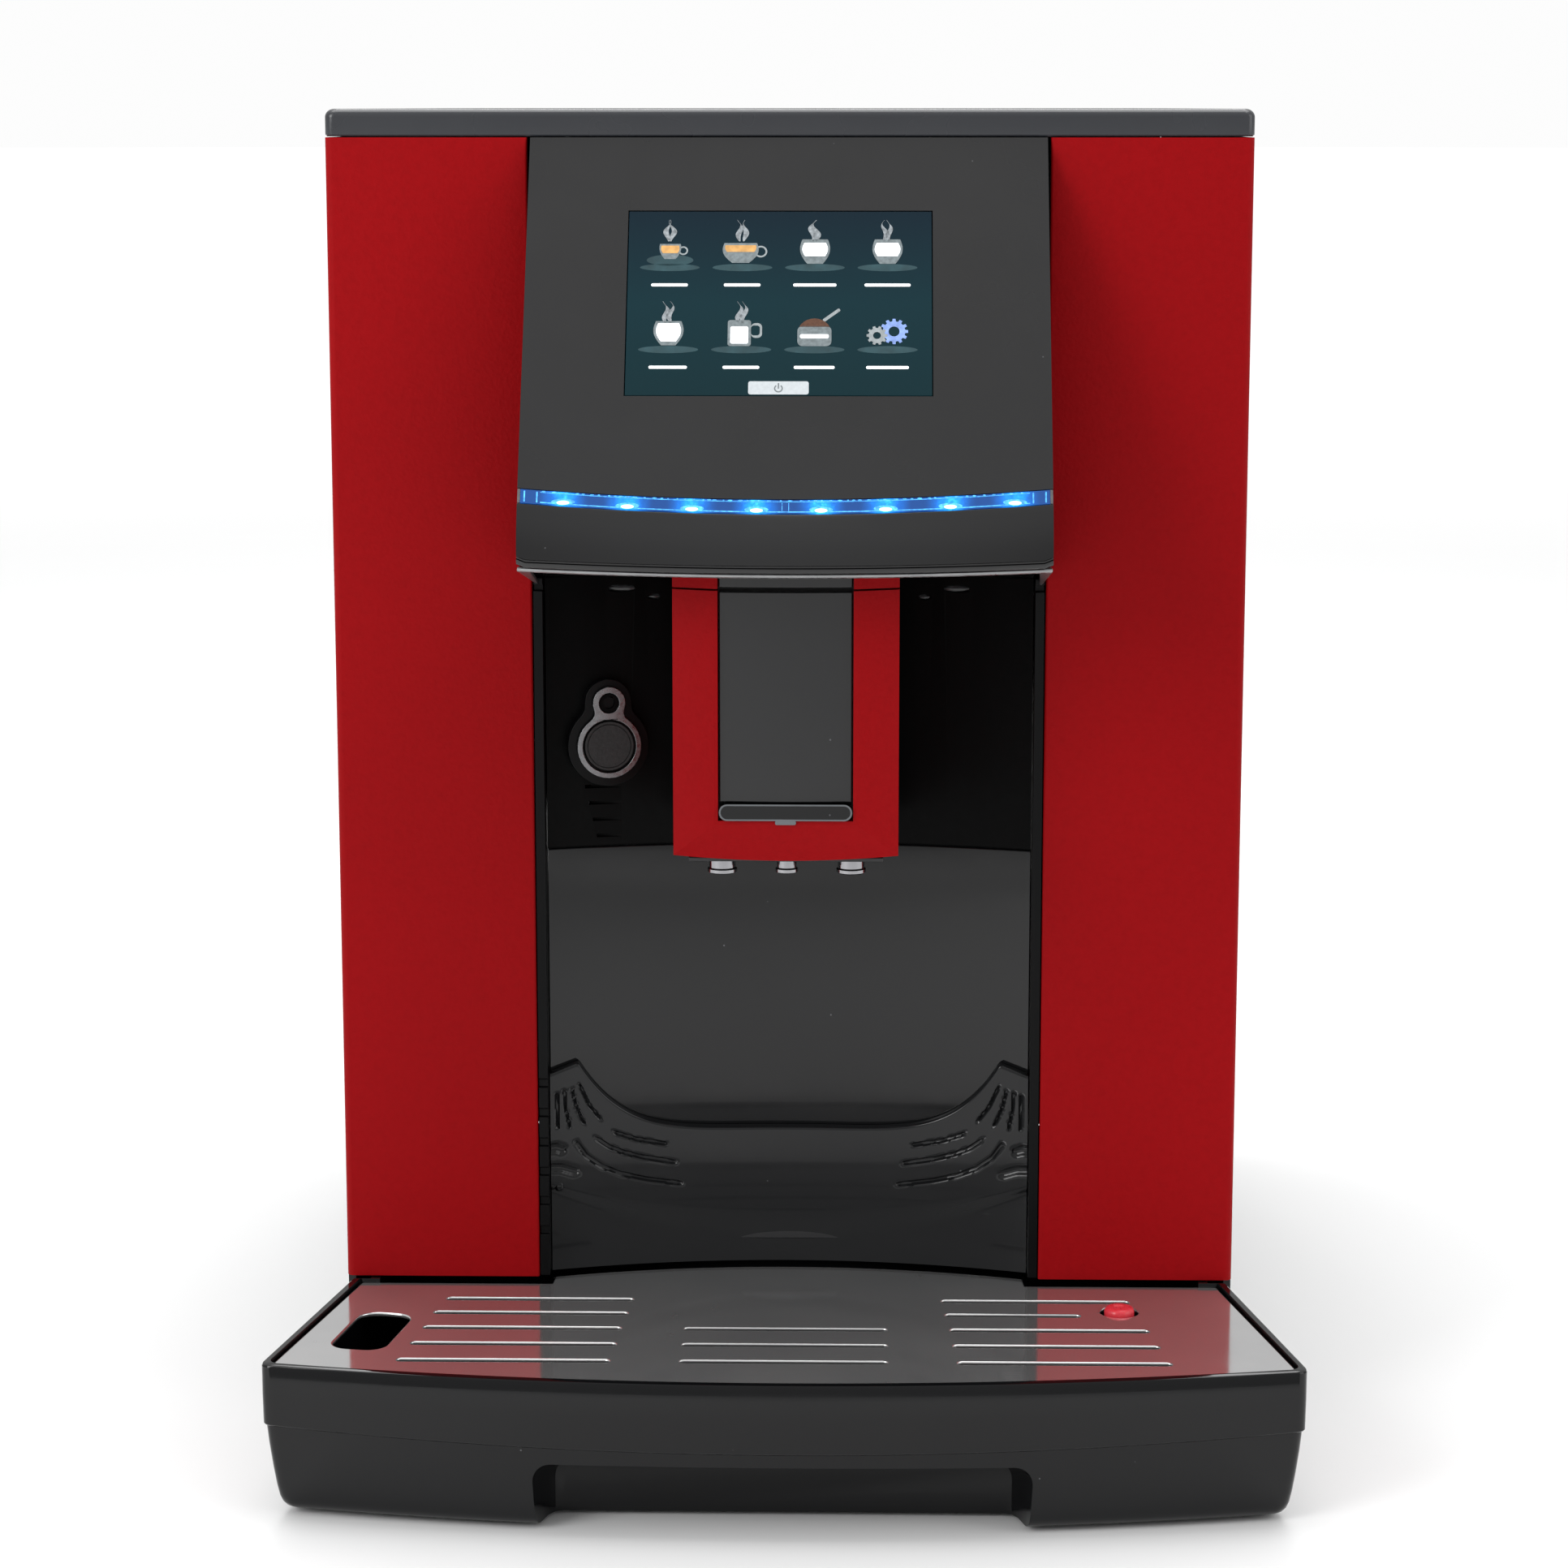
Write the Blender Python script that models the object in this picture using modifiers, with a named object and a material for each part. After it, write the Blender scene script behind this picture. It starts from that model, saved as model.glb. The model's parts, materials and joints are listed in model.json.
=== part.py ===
"""Bean-to-cup coffee machine with a touch display, as an assembly of separate solids.

Frame: +Z up, +X to the machine's right as seen from the front, the front faces -Y.
The origin is on the table, in the middle of the machine's footprint.
Sizes below are in millimetres; the helpers turn them into Blender's metres.
"""

import math

import bmesh
import bpy
from mathutils import Matrix, Vector

MM = 0.001

# ---------------------------------------------------------------- driving sizes
BODY_HALF = 145.0  # half the width across the two front panels
FRONT = -122.0  # plane of the front panels
REAR = 229.0  # plane of the rear cover
TOP = 428.0  # top of the machine
LID_LINE = 419.5  # underside of the top cover
TRAY_TOP = 50.0  # rim of the drip tray
FOOT = 6.0  # height of the rubber feet
GAP = 0.3  # clearance between pieces that meet
WALL = 2.5  # usual wall of a moulded piece

BAY_HALF = 81.4  # half the width of the cup bay
BAY_TOP = 281.3
BAY_SEAM = 192.0  # where the upper and lower bay walls meet
BAY_CENTRE_Y = -103.25  # the concave bay wall on the centre plane
BAY_CURVE = 0.0021  # how fast the bay wall comes forward away from the centre, per mm

SLOPE = math.radians(30.0)  # tilt of the control fascia from the vertical
FASCIA_HALF = 80.6
FASCIA_LENGTH = 119.6  # down the slope, at the fascia's two ends
FASCIA_DROOP = 3.6  # how much further down it reaches on the centre plane
LIGHT_HEIGHT = 4.5

SPOUT_HALF = 34.8
SPOUT_FRONT = -172.0
SPOUT_BOTTOM = 200.4
SPOUT_SEAM = 283.3  # where the moving shell meets the fixed collar
WINDOW_HALF = 20.8

TRAY_HALF_FRONT = 160.0
TRAY_HALF_REAR = 143.0
TRAY_CORNER_Y = -212.6
TRAY_FRONT_Y = -229.0
TRAY_REAR_Y = -124.0

HOPPER = (-115.0, -58.0, 15.0, 60.0)  # openings in the top cover: low x, low y, high x, high y
POWDER = (45.0, -58.0, 119.0, -4.0)
TANK = (0.0, 112.0, 132.0, 216.0)
KNOB_CENTRE = (68.0, 32.0)
KNOB_RADIUS = 14.0

GRINDER_AXIS = (-50.0, 1.0)
BREW_AXIS = (98.0, -10.0)
GEAR_MODULE = 1.5
GEAR_TEETH = 36
PINION_TEETH = 12
GEAR_CENTRES = GEAR_MODULE * (GEAR_TEETH + PINION_TEETH) / 2 + 0.3

DOOR = (-58.0, 96.0, 66.6, 300.0)  # opening in the right side cover: low y, low z, high y, high z
DOOR_AXIS = (143.0, 64.0)

SOCKET = (-112.0, 24.0, -84.0, 44.0)  # openings in the rear cover: low x, low z, high x, high z
ROCKER = (-72.0, 27.0, -51.0, 41.0)


# ---------------------------------------------------------------- scene and materials
def clear_scene():
    for obj in list(bpy.data.objects):
        bpy.data.objects.remove(obj, do_unlink=True)


def new_collection(name):
    made = bpy.data.collections.new(name)
    bpy.context.scene.collection.children.link(made)
    return made


def new_material(name, colour, roughness, metallic=0.0, alpha=1.0, glow=None):
    made = bpy.data.materials.new(name)
    made.use_nodes = True
    shader = made.node_tree.nodes["Principled BSDF"]
    shader.inputs["Base Color"].default_value = (*colour, 1.0)
    shader.inputs["Roughness"].default_value = roughness
    shader.inputs["Metallic"].default_value = metallic
    shader.inputs["Alpha"].default_value = alpha
    if glow:
        shader.inputs["Emission Color"].default_value = (*glow, 1.0)
        shader.inputs["Emission Strength"].default_value = 1.0
    made.diffuse_color = (*colour, alpha)
    return made


clear_scene()
PARTS = new_collection("bean_to_cup_coffee_machine")
CUTTERS = new_collection("cutters")
CUTTERS.hide_render = True

RED = new_material("red_plastic", (0.36, 0.005, 0.008), 0.5)
GLOSS = new_material("gloss_black", (0.008, 0.008, 0.009), 0.12)
SATIN = new_material("satin_black", (0.012, 0.012, 0.012), 0.45)
FASCIA_GREY = new_material("fascia_grey", (0.04, 0.04, 0.04), 0.35)
DISPLAY = new_material("display_glass", (0.008, 0.03, 0.045), 0.2, glow=(0.01, 0.04, 0.06))
LIGHT = new_material("light_bar", (0.02, 0.25, 0.9), 0.15, glow=(0.02, 0.3, 1.0))
SMOKED = new_material("smoked_plastic", (0.05, 0.05, 0.055), 0.12, alpha=0.6)
STEEL = new_material("polished_steel", (0.55, 0.55, 0.55), 0.12, metallic=1.0)
CHROME = new_material("chrome", (0.8, 0.8, 0.8), 0.08, metallic=1.0)
RUBBER = new_material("rubber", (0.02, 0.02, 0.02), 0.8)
FLOAT_RED = new_material("float_red", (0.7, 0.02, 0.03), 0.4)
GREY = new_material("grey_plastic", (0.18, 0.18, 0.19), 0.5)
BURR_STEEL = new_material("burr_steel", (0.4, 0.4, 0.42), 0.35, metallic=1.0)
ALUMINIUM = new_material("cast_aluminium", (0.6, 0.6, 0.62), 0.45, metallic=1.0)
BOARD = new_material("circuit_board", (0.01, 0.12, 0.04), 0.5)
SILICONE = new_material("silicone_hose", (0.65, 0.65, 0.62), 0.5)


# ---------------------------------------------------------------- outlines in a plane
def arc(cx, cy, radius, start, end, steps):
    """Points on an arc; angles in degrees, both ends included."""
    turns = [math.radians(start + (end - start) * i / steps) for i in range(steps + 1)]
    return [(cx + radius * math.cos(t), cy + radius * math.sin(t)) for t in turns]


def circle(cx, cy, radius, steps=24):
    return arc(cx, cy, radius, 0, 360, steps)[:-1]


def rounded_rect(x0, y0, x1, y1, radius, steps=3):
    corners = (
        (x1 - radius, y1 - radius, 0),
        (x0 + radius, y1 - radius, 90),
        (x0 + radius, y0 + radius, 180),
        (x1 - radius, y0 + radius, 270),
    )
    return [p for x, y, a in corners for p in arc(x, y, radius, a, a + 90, steps)]


def rectangle(x0, y0, x1, y1):
    return [(x0, y0), (x1, y0), (x1, y1), (x0, y1)]


def slot(x0, x1, y, width, steps=3):
    """A straight slot along x with round ends."""
    r = width / 2
    return arc(x1 - r, y, r, -90, 90, steps) + arc(x0 + r, y, r, 90, 270, steps)


def turned_about(points, cx, cy, degrees):
    c, s = math.cos(math.radians(degrees)), math.sin(math.radians(degrees))
    return [(cx + (x - cx) * c - (y - cy) * s, cy + (x - cx) * s + (y - cy) * c) for x, y in points]


def gear(teeth, module=GEAR_MODULE, backlash=0.7):
    """A spur gear's outline with straight-sided teeth."""
    pitch_radius = module * teeth / 2
    root, tip = pitch_radius - 1.2 * module, pitch_radius + 0.85 * module
    half_pitch = math.pi * module / 2
    half_root = (half_pitch * 1.05 - backlash) / 2 / root
    half_tip = (half_pitch * 0.5 - backlash * 0.5) / 2 / tip
    points = []
    for n in range(teeth):
        middle = 2 * math.pi * n / teeth
        for radius, offset in ((root, -half_root), (tip, -half_tip), (tip, half_tip), (root, half_root)):
            points.append((radius * math.cos(middle + offset), radius * math.sin(middle + offset)))
    return points


def keyhole(big, small, spacing, fillet, steps=10):
    """Two circles, the small one above the big one, joined by a filleted waist."""
    to_big, to_small = big + fillet, small + fillet
    y = (to_big**2 - to_small**2 + spacing**2) / (2 * spacing)
    x = math.sqrt(to_big**2 - y**2)
    low = math.degrees(math.atan2(y, x))
    high = math.degrees(math.atan2(y - spacing, x))
    return (
        arc(0, 0, big, 180 - low, 360 + low, 2 * steps)
        + arc(x, y, fillet, 180 + low, 180 + high, 3)[1:-1]
        + arc(0, spacing, small, high, 180 - high, steps)
        + arc(-x, y, fillet, -high, -low, 3)[1:-1]
    )


# ---------------------------------------------------------------- solids
def add(obj, name, material, bevel=0.0, segments=2, angle=30.0, cutter=False):
    """Names the object, gives it its material and collection, and rounds its edges."""
    obj.name = name
    obj.data.name = name
    for owner in list(obj.users_collection):
        owner.objects.unlink(obj)
    (CUTTERS if cutter else PARTS).objects.link(obj)
    if cutter:
        obj.hide_render = True
        obj.display_type = "WIRE"
    if material:
        obj.data.materials.clear()
        obj.data.materials.append(material)
    if bevel:
        made = obj.modifiers.new("rounded_edges", "BEVEL")
        made.width = bevel * MM
        made.segments = segments
        made.limit_method = "ANGLE"
        made.angle_limit = math.radians(angle)
        made.use_clamp_overlap = True
    return obj


def mesh_object(build, name, material, **looks):
    """An object whose mesh is filled by build(bm), which works in millimetres."""
    bm = bmesh.new()
    build(bm)
    bmesh.ops.scale(bm, vec=(MM, MM, MM), verts=bm.verts)
    mesh = bpy.data.meshes.new(name)
    bm.to_mesh(mesh)
    bm.free()
    return add(bpy.data.objects.new(name, mesh), name, material, **looks)


def set_origin(obj, x, y, z):
    """Moves the object's origin, and leaves its shape where it is."""
    shift = Vector((x, y, z)) * MM - obj.location
    obj.data.transform(Matrix.Translation(-shift))
    obj.location = Vector((x, y, z)) * MM
    return obj


def box(name, low, high, material=None, **looks):
    size = [h - l for l, h in zip(low, high)]
    middle = [(h + l) / 2 for l, h in zip(low, high)]

    def build(bm):
        bmesh.ops.create_cube(bm, size=1.0)
        bmesh.ops.scale(bm, vec=size, verts=bm.verts)
        bmesh.ops.translate(bm, vec=middle, verts=bm.verts)

    return mesh_object(build, name, material, **looks)


def cylinder(name, centre, radius, length, material=None, axis="Z", sides=32, top=None, **looks):
    """A cylinder or, with a top radius, a cone. Its centre is halfway along its axis."""

    def build(bm):
        bmesh.ops.create_cone(
            bm, cap_ends=True, segments=sides, radius1=radius,
            radius2=radius if top is None else top, depth=length,
        )
        degrees, about = {"X": (90, "Y"), "Y": (-90, "X"), "Z": (0, "Z")}[axis]
        rotation = Matrix.Rotation(math.radians(degrees), 3, about)
        bmesh.ops.rotate(bm, cent=(0, 0, 0), matrix=rotation, verts=bm.verts)
        bmesh.ops.translate(bm, vec=centre, verts=bm.verts)

    return mesh_object(build, name, material, **looks)


def as_mesh(obj):
    """The object's evaluated shape as a plain mesh object, in place of a curve or of modifiers."""
    bpy.context.view_layer.update()
    graph = bpy.context.evaluated_depsgraph_get()
    mesh = bpy.data.meshes.new_from_object(obj.evaluated_get(graph))
    bm = bmesh.new()
    bm.from_mesh(mesh)
    bmesh.ops.remove_doubles(bm, verts=bm.verts, dist=0.00001)
    bmesh.ops.recalc_face_normals(bm, faces=bm.faces)
    bm.to_mesh(mesh)
    bm.free()
    made = bpy.data.objects.new(obj.name + "_mesh", mesh)
    made.matrix_world = obj.matrix_world
    bpy.context.scene.collection.objects.link(made)
    bpy.data.objects.remove(obj, do_unlink=True)
    return made


def plate(name, outlines, thickness, material=None, at=(0, 0, 0), turn=(0, 0, 0), **looks):
    """A flat plate from closed outlines in its own XY plane; an outline inside another is a hole.

    It spans half its thickness to each side of that plane. turn is in degrees.
    """
    curve = bpy.data.curves.new(name, "CURVE")
    curve.dimensions = "2D"
    curve.fill_mode = "BOTH"
    curve.extrude = thickness * MM / 2
    for outline in outlines:
        spline = curve.splines.new("POLY")
        spline.points.add(len(outline) - 1)
        for point, (x, y) in zip(spline.points, outline):
            point.co = (x * MM, y * MM, 0, 1)
        spline.use_cyclic_u = True
    obj = bpy.data.objects.new(name + "_curve", curve)
    bpy.context.scene.collection.objects.link(obj)
    obj.location = Vector(at) * MM
    obj.rotation_euler = [math.radians(a) for a in turn]
    made = as_mesh(obj)
    made.data.transform(made.matrix_world)
    made.matrix_world.identity()
    made.location, made.rotation_euler = (0, 0, 0), (0, 0, 0)
    return add(made, name, material, **looks)


def loft(name, loops, material=None, caps=(True, True), wall=0.0, **looks):
    """A skin through closed loops of equally many points, in millimetres.

    With wall set, the skin is a shell of that thickness inside the loops.
    """

    def build(bm):
        rings = [[bm.verts.new(p) for p in loop] for loop in loops]
        count = len(rings[0])
        for one, two in zip(rings, rings[1:]):
            for i in range(count):
                j = (i + 1) % count
                bm.faces.new((one[i], one[j], two[j], two[i]))
        if caps[0]:
            bm.faces.new(rings[0])
        if caps[1]:
            bm.faces.new(rings[-1])
        bmesh.ops.recalc_face_normals(bm, faces=bm.faces)

    obj = mesh_object(build, name, material, **looks)
    if wall:
        shell = obj.modifiers.new("wall", "SOLIDIFY")
        shell.thickness = wall * MM
        shell.offset = -1
        shell.use_even_offset = True
    return obj


def turned_profile(name, profile, centre, material=None, steps=32, **looks):
    """A closed profile of (radius, z) points, swept once round a vertical axis at centre."""
    mesh = bpy.data.meshes.new(name)
    bm = bmesh.new()
    points = [bm.verts.new((r * MM, 0, z * MM)) for r, z in profile]
    for i, point in enumerate(points):
        bm.edges.new((point, points[(i + 1) % len(points)]))
    bm.to_mesh(mesh)
    bm.free()
    obj = bpy.data.objects.new(name + "_profile", mesh)
    bpy.context.scene.collection.objects.link(obj)
    sweep = obj.modifiers.new("sweep", "SCREW")
    sweep.steps = sweep.render_steps = steps
    sweep.use_merge_vertices = True
    sweep.merge_threshold = 0.00001
    made = as_mesh(obj)
    made.location = (centre[0] * MM, centre[1] * MM, 0)
    return add(made, name, material, **looks)


def tube(name, points, radius, material, samples=14):
    """A hose along a smooth curve through the points."""
    curve = bpy.data.curves.new(name, "CURVE")
    curve.dimensions = "3D"
    curve.bevel_depth = radius * MM
    curve.bevel_resolution = 2
    curve.use_fill_caps = True
    route = smooth_route(points, samples)
    spline = curve.splines.new("POLY")
    spline.points.add(len(route) - 1)
    for point, place in zip(spline.points, route):
        point.co = (*(v * MM for v in place), 1)
    obj = bpy.data.objects.new(name, curve)
    return add(obj, name, material)


def smooth_route(points, samples):
    """Evenly many points on a Catmull-Rom curve through the given ones."""
    knots = [Vector(p) for p in points]
    knots = [2 * knots[0] - knots[1]] + knots + [2 * knots[-1] - knots[-2]]
    spans = len(knots) - 3
    route = []
    for n in range(samples + 1):
        place = min(n / samples * spans, spans - 1e-6)
        i, t = int(place), place - int(place)
        a, b, c, d = knots[i : i + 4]
        route.append(
            0.5 * (2 * b + (c - a) * t + (2 * a - 5 * b + 4 * c - d) * t**2 + (3 * b - a - 3 * c + d) * t**3)
        )
    return route


def combine(obj, others, operation):
    """Applies a Boolean with each of the others, and removes them."""
    for other in others:
        for owner in list(other.users_collection):
            owner.objects.unlink(other)
        CUTTERS.objects.link(other)
        other.hide_render = True
        step = obj.modifiers.new(operation.lower(), "BOOLEAN")
        step.operation = operation
        step.object = other
        step.solver = "EXACT"
    name, material = obj.name, obj.data.materials[0] if obj.data.materials else None
    made = as_mesh(obj)
    for other in others:
        bpy.data.objects.remove(other, do_unlink=True)
    return add(made, name, material)


def cut(obj, *cutters):
    return combine(obj, cutters, "DIFFERENCE")


def join(obj, *others):
    return combine(obj, others, "UNION")


def round_edges(obj, width, segments=2, angle=30.0):
    material = obj.data.materials[0] if obj.data.materials else None
    return add(obj, obj.name, material, bevel=width, segments=segments, angle=angle)


# ---------------------------------------------------------------- places on the curved pieces
def bay_wall_y(x):
    """The concave wall behind the cup, in plan."""
    return BAY_CENTRE_Y - BAY_CURVE * x * x


def on_fascia(down, out=0.0):
    """(y, z) of a place that far down the sloping fascia, and out from its face."""
    return (
        FRONT - down * math.sin(SLOPE) - out * math.cos(SLOPE),
        LID_LINE - GAP - down * math.cos(SLOPE) + out * math.sin(SLOPE),
    )


def fascia_end(x, extra=0.0):
    """How far down the slope the fascia panel reaches at this x."""
    return FASCIA_LENGTH + FASCIA_DROOP * (1 - (x / FASCIA_HALF) ** 2) + extra


def spread(low, high, count):
    return [low + (high - low) * i / (count - 1) for i in range(count)]


# ---------------------------------------------------------------- casing
def make_feet():
    for side, x in (("left", -118.0), ("right", 118.0)):
        for end, y in (("front", -96.0), ("rear", 200.0)):
            cylinder(f"foot_{end}_{side}", (x, y, FOOT / 2 - GAP / 2), 11.0, FOOT - GAP, RUBBER,
                     sides=24, top=13.0)


def make_casing():
    inner = BODY_HALF - WALL
    box("base_pan", (-inner + 0.5, -117.5, FOOT), (inner - 0.5, REAR - WALL - 0.5, FOOT + 3), SATIN,
        bevel=0.6, segments=1)

    return_y = -107.0
    side = [
        (-118.5, FOOT), (REAR, FOOT), (REAR, LID_LINE - GAP),
        (return_y + GAP, LID_LINE - GAP), (return_y + GAP, TRAY_TOP + 0.1), (-118.5, TRAY_TOP + 0.1),
    ]
    upright = (90, 0, 90)  # the plate's own XY plane becomes YZ
    middle = BODY_HALF - WALL / 2
    plate("left_side_cover", [side], WALL, SATIN, at=(-middle, 0, 0), turn=upright, bevel=0.5, segments=1)
    door_hole = rounded_rect(*DOOR, 1.0)
    plate("right_side_cover", [side, door_hole], WALL, SATIN, at=(middle, 0, 0), turn=upright,
          bevel=0.5, segments=1)

    low, high = TRAY_TOP + 0.4, LID_LINE - GAP
    for name, sign in (("left_front_panel", -1), ("right_front_panel", 1)):
        corner = arc(BODY_HALF - 2.0, FRONT + 2.0, 2.0, -90, 0, 4)
        section = [(BAY_HALF + GAP, FRONT), *corner, (BODY_HALF, return_y), (inner, return_y),
                   (inner, FRONT + WALL), (BAY_HALF + GAP, FRONT + WALL)]
        section = [(sign * x, y) for x, y in section]
        plate(name, [section], high - low, RED, at=(0, 0, (low + high) / 2), bevel=0.5)


def make_rear_cover():
    x = BODY_HALF - WALL - GAP
    outline = rectangle(-x, FOOT + 3 + GAP, x, LID_LINE - GAP)
    vents = [slot(-60.0, 60.0, z, 3.4, 2) for z in spread(120.0, 190.0, 8)]
    holes = [rectangle(*SOCKET), rectangle(*ROCKER)]
    plate("rear_cover", [outline, *vents, *holes], WALL, SATIN, at=(0, REAR - WALL / 2, 0), turn=(90, 0, 0),
          bevel=0.4, segments=1)


def make_top_cover():
    outline = rounded_rect(-BODY_HALF, FRONT, BODY_HALF, REAR, 3.0, 2)
    holes = [rounded_rect(*opening, 1.5, 2) for opening in (HOPPER, POWDER, TANK)]
    knob_hole = circle(*KNOB_CENTRE, KNOB_RADIUS + 0.8, 28)
    cover = plate("top_cover", [outline, *holes, knob_hole], TOP - LID_LINE, GLOSS,
                  at=(0, 0, (TOP + LID_LINE) / 2), bevel=2.4, segments=3, angle=60)
    cover.modifiers["rounded_edges"].limit_method = "WEIGHT"
    weight_outer_edges(cover)
    cover = add(as_mesh(cover), "top_cover", GLOSS)
    notches = [hinge_notch(opening, sign) for opening in (HOPPER, POWDER) for sign in (-1, 1)]
    cut(cover, *notches)


def weight_outer_edges(cover):
    """Only the cover's upper outer edge is rounded; the openings stay crisp."""
    mesh = cover.data
    weights = mesh.attributes.new("bevel_weight_edge", "FLOAT", "EDGE")
    for edge, weight in zip(mesh.edges, weights.data):
        ends = [mesh.vertices[i].co / MM for i in edge.vertices]
        at_top = all(abs(p.z - TOP) < 0.01 for p in ends)
        at_rim = all(
            abs(abs(p.x) - BODY_HALF) < 3.1 or p.y < FRONT + 3.1 or p.y > REAR - 3.1 for p in ends
        )
        along_rim = (ends[0] - ends[1]).length < 3.0 or any(
            all(abs(abs(p[i] - middle) - half) < 0.01 for p in ends)
            for i, middle, half in ((0, 0.0, BODY_HALF), (1, (FRONT + REAR) / 2, (REAR - FRONT) / 2))
        )
        weight.value = 1.0 if at_top and at_rim and along_rim else 0.0


LID_HINGE_INSET = 3.2  # from an opening's rear edge to its lid's hinge line
LID_HINGE_Z = TOP - 2.2
LID_PIN_RADIUS = 1.2
LID_TOP = TOP - 0.3
LID_THICKNESS = 3.4


def hinge_notch(opening, sign):
    """Room in the top cover for one of a lid's two hinge stubs."""
    x = opening[2] if sign > 0 else opening[0]
    y = opening[3] - LID_HINGE_INSET
    low, high = sorted((x - sign * 1.0, x + sign * 2.6))
    return box("notch", (low, y - 1.8, LID_HINGE_Z - 1.8), (high, y + 1.8, TOP + 2), cutter=True)


def make_lid(name, opening, material, stubs=True):
    """A flat lid in its opening, with hinge stubs near its rear edge and a finger scoop in front."""
    x0, y0, x1, y1 = opening
    clear, rear_clear = 0.6, 0.9
    outline = rounded_rect(x0 + clear, y0 + clear, x1 - clear, y1 - rear_clear, 1.0, 2)
    lid = plate(name, [outline], LID_THICKNESS, material, at=(0, 0, LID_TOP - LID_THICKNESS / 2))
    y = y1 - LID_HINGE_INSET
    pieces = []
    if stubs:
        reach = (x1 - x0) / 2 + 1.6
        pieces.append(cylinder("stub", ((x0 + x1) / 2, y, LID_HINGE_Z), LID_PIN_RADIUS, 2 * reach,
                               axis="X", sides=12, cutter=True))
        lid = join(lid, *pieces)
    scoop = cylinder("scoop", ((x0 + x1) / 2, y0 + 1.0, LID_TOP + 4.0), 9.0, 11.0, sides=16, cutter=True)
    scoop_low = LID_TOP - 1.6
    scoop.location.z = (scoop_low - (LID_TOP + 4.0 - 5.5)) * MM
    lid = cut(lid, scoop)
    return set_origin(round_edges(lid, 0.4, 1), (x0 + x1) / 2, y, LID_HINGE_Z)


# ---------------------------------------------------------------- cup bay
def curved_wall(name, z0, z1, setback, material):
    """A strip of the concave bay wall between two heights."""
    loops = []
    for x in spread(-BAY_HALF + 3.4, BAY_HALF - 3.4, 13):
        y = bay_wall_y(x) + setback
        loops.append([(x, y, z0), (x, y + WALL, z0), (x, y + WALL, z1), (x, y, z1)])
    return loft(name, loops, material)


def make_bay():
    curved_wall("bay_upper_wall", BAY_SEAM + GAP / 2, BAY_TOP - GAP, 0.0, SATIN)
    curved_wall("bay_lower_wall", 90.0, BAY_SEAM - GAP / 2, WALL + GAP, GLOSS)

    front, back = FRONT + 0.6, -110.0
    low, high = TRAY_TOP + 0.6, BAY_TOP - GAP
    plain = rectangle(front, low, back, high)
    notched = [(back, low), (back, high), (front, high)]
    for z in spread(115.5, 66.0, 6):
        notched += [(front, z + 1.6), (front + 1.1, z + 1.2), (front + 1.1, z - 1.2), (front, z - 1.6)]
    notched.append((front, low))
    width = 3.1
    middle = BAY_HALF - width / 2
    plate("left_bay_rail", [notched], width, GLOSS, at=(-middle, 0, 0), turn=(90, 0, 90))
    plate("right_bay_rail", [plain], width, GLOSS, at=(middle, 0, 0), turn=(90, 0, 90), bevel=0.4, segments=1)


MILK_CENTRE = (-59.2, 226.0)  # x and z of the big disc
MILK_SPACING = 14.0
MILK_TURN = math.degrees(math.atan(2 * BAY_CURVE * 59.2))  # the wall's own slant there


def on_milk_port(out):
    """A place on the milk port's axis, that far out from the bay wall."""
    x, z = MILK_CENTRE
    slant = math.radians(MILK_TURN)
    return (x + out * math.sin(slant), bay_wall_y(x) - out * math.cos(slant), z)


def make_milk_port():
    turn = (90, 0, MILK_TURN)
    base = [keyhole(13.2, 7.6, MILK_SPACING, 5.0), circle(0, 0, 8.0)]
    plate("milk_port_base", base, 4.0, SATIN, at=on_milk_port(2.7), turn=turn, bevel=0.8, segments=2,
          angle=50)
    ring = [keyhole(10.7, 5.3, MILK_SPACING, 3.4), circle(0, 0, 8.3), circle(0, MILK_SPACING, 3.3, 16)]
    plate("milk_port_ring", ring, 1.4, ALUMINIUM, at=on_milk_port(5.7), turn=turn)
    button = plate("milk_release_button", [circle(0, 0, 7.7)], 3.2, RUBBER, at=on_milk_port(4.4), turn=turn,
                   bevel=0.5)
    set_origin(button, *on_milk_port(4.4))


# ---------------------------------------------------------------- control fascia
def in_fascia_plane(out, thickness):
    """Where a plate sits so that its outer face is that far out from the fascia's face."""
    y, z = on_fascia(0.0, out - thickness / 2)
    return {"at": (0, y, z), "turn": (90 - math.degrees(SLOPE), 0, 0)}


SCREEN = (-49.0, -88.7, 44.4, -25.9)  # in the fascia's own plane: low x, low y, high x, high y


def arc_band(start_extra, end_extra):
    """The outline between two of the fascia's parallel lower curves."""
    stations = spread(-FASCIA_HALF, FASCIA_HALF, 13)
    upper = [(x, -fascia_end(x, start_extra)) for x in stations]
    lower = [(x, -fascia_end(x, end_extra)) for x in reversed(stations)]
    return upper + lower


def make_fascia():
    stations = spread(FASCIA_HALF, -FASCIA_HALF, 13)
    panel = [(-FASCIA_HALF, 0), (FASCIA_HALF, 0)] + [(x, -fascia_end(x)) for x in stations]
    x0, y0, x1, y1 = SCREEN
    hole = rectangle(x0 - GAP, y0 - GAP, x1 + GAP, y1 + GAP)
    plate("fascia_panel", [panel, hole], WALL, FASCIA_GREY, **in_fascia_plane(0.0, WALL))
    plate("touch_display", [rectangle(*SCREEN)], 6.0, DISPLAY, **in_fascia_plane(-0.15, 6.0))
    plate("led_light_bar", [arc_band(GAP, GAP + LIGHT_HEIGHT)], WALL, LIGHT, **in_fascia_plane(0.0, WALL))
    make_chin()
    make_fascia_housing()


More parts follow.
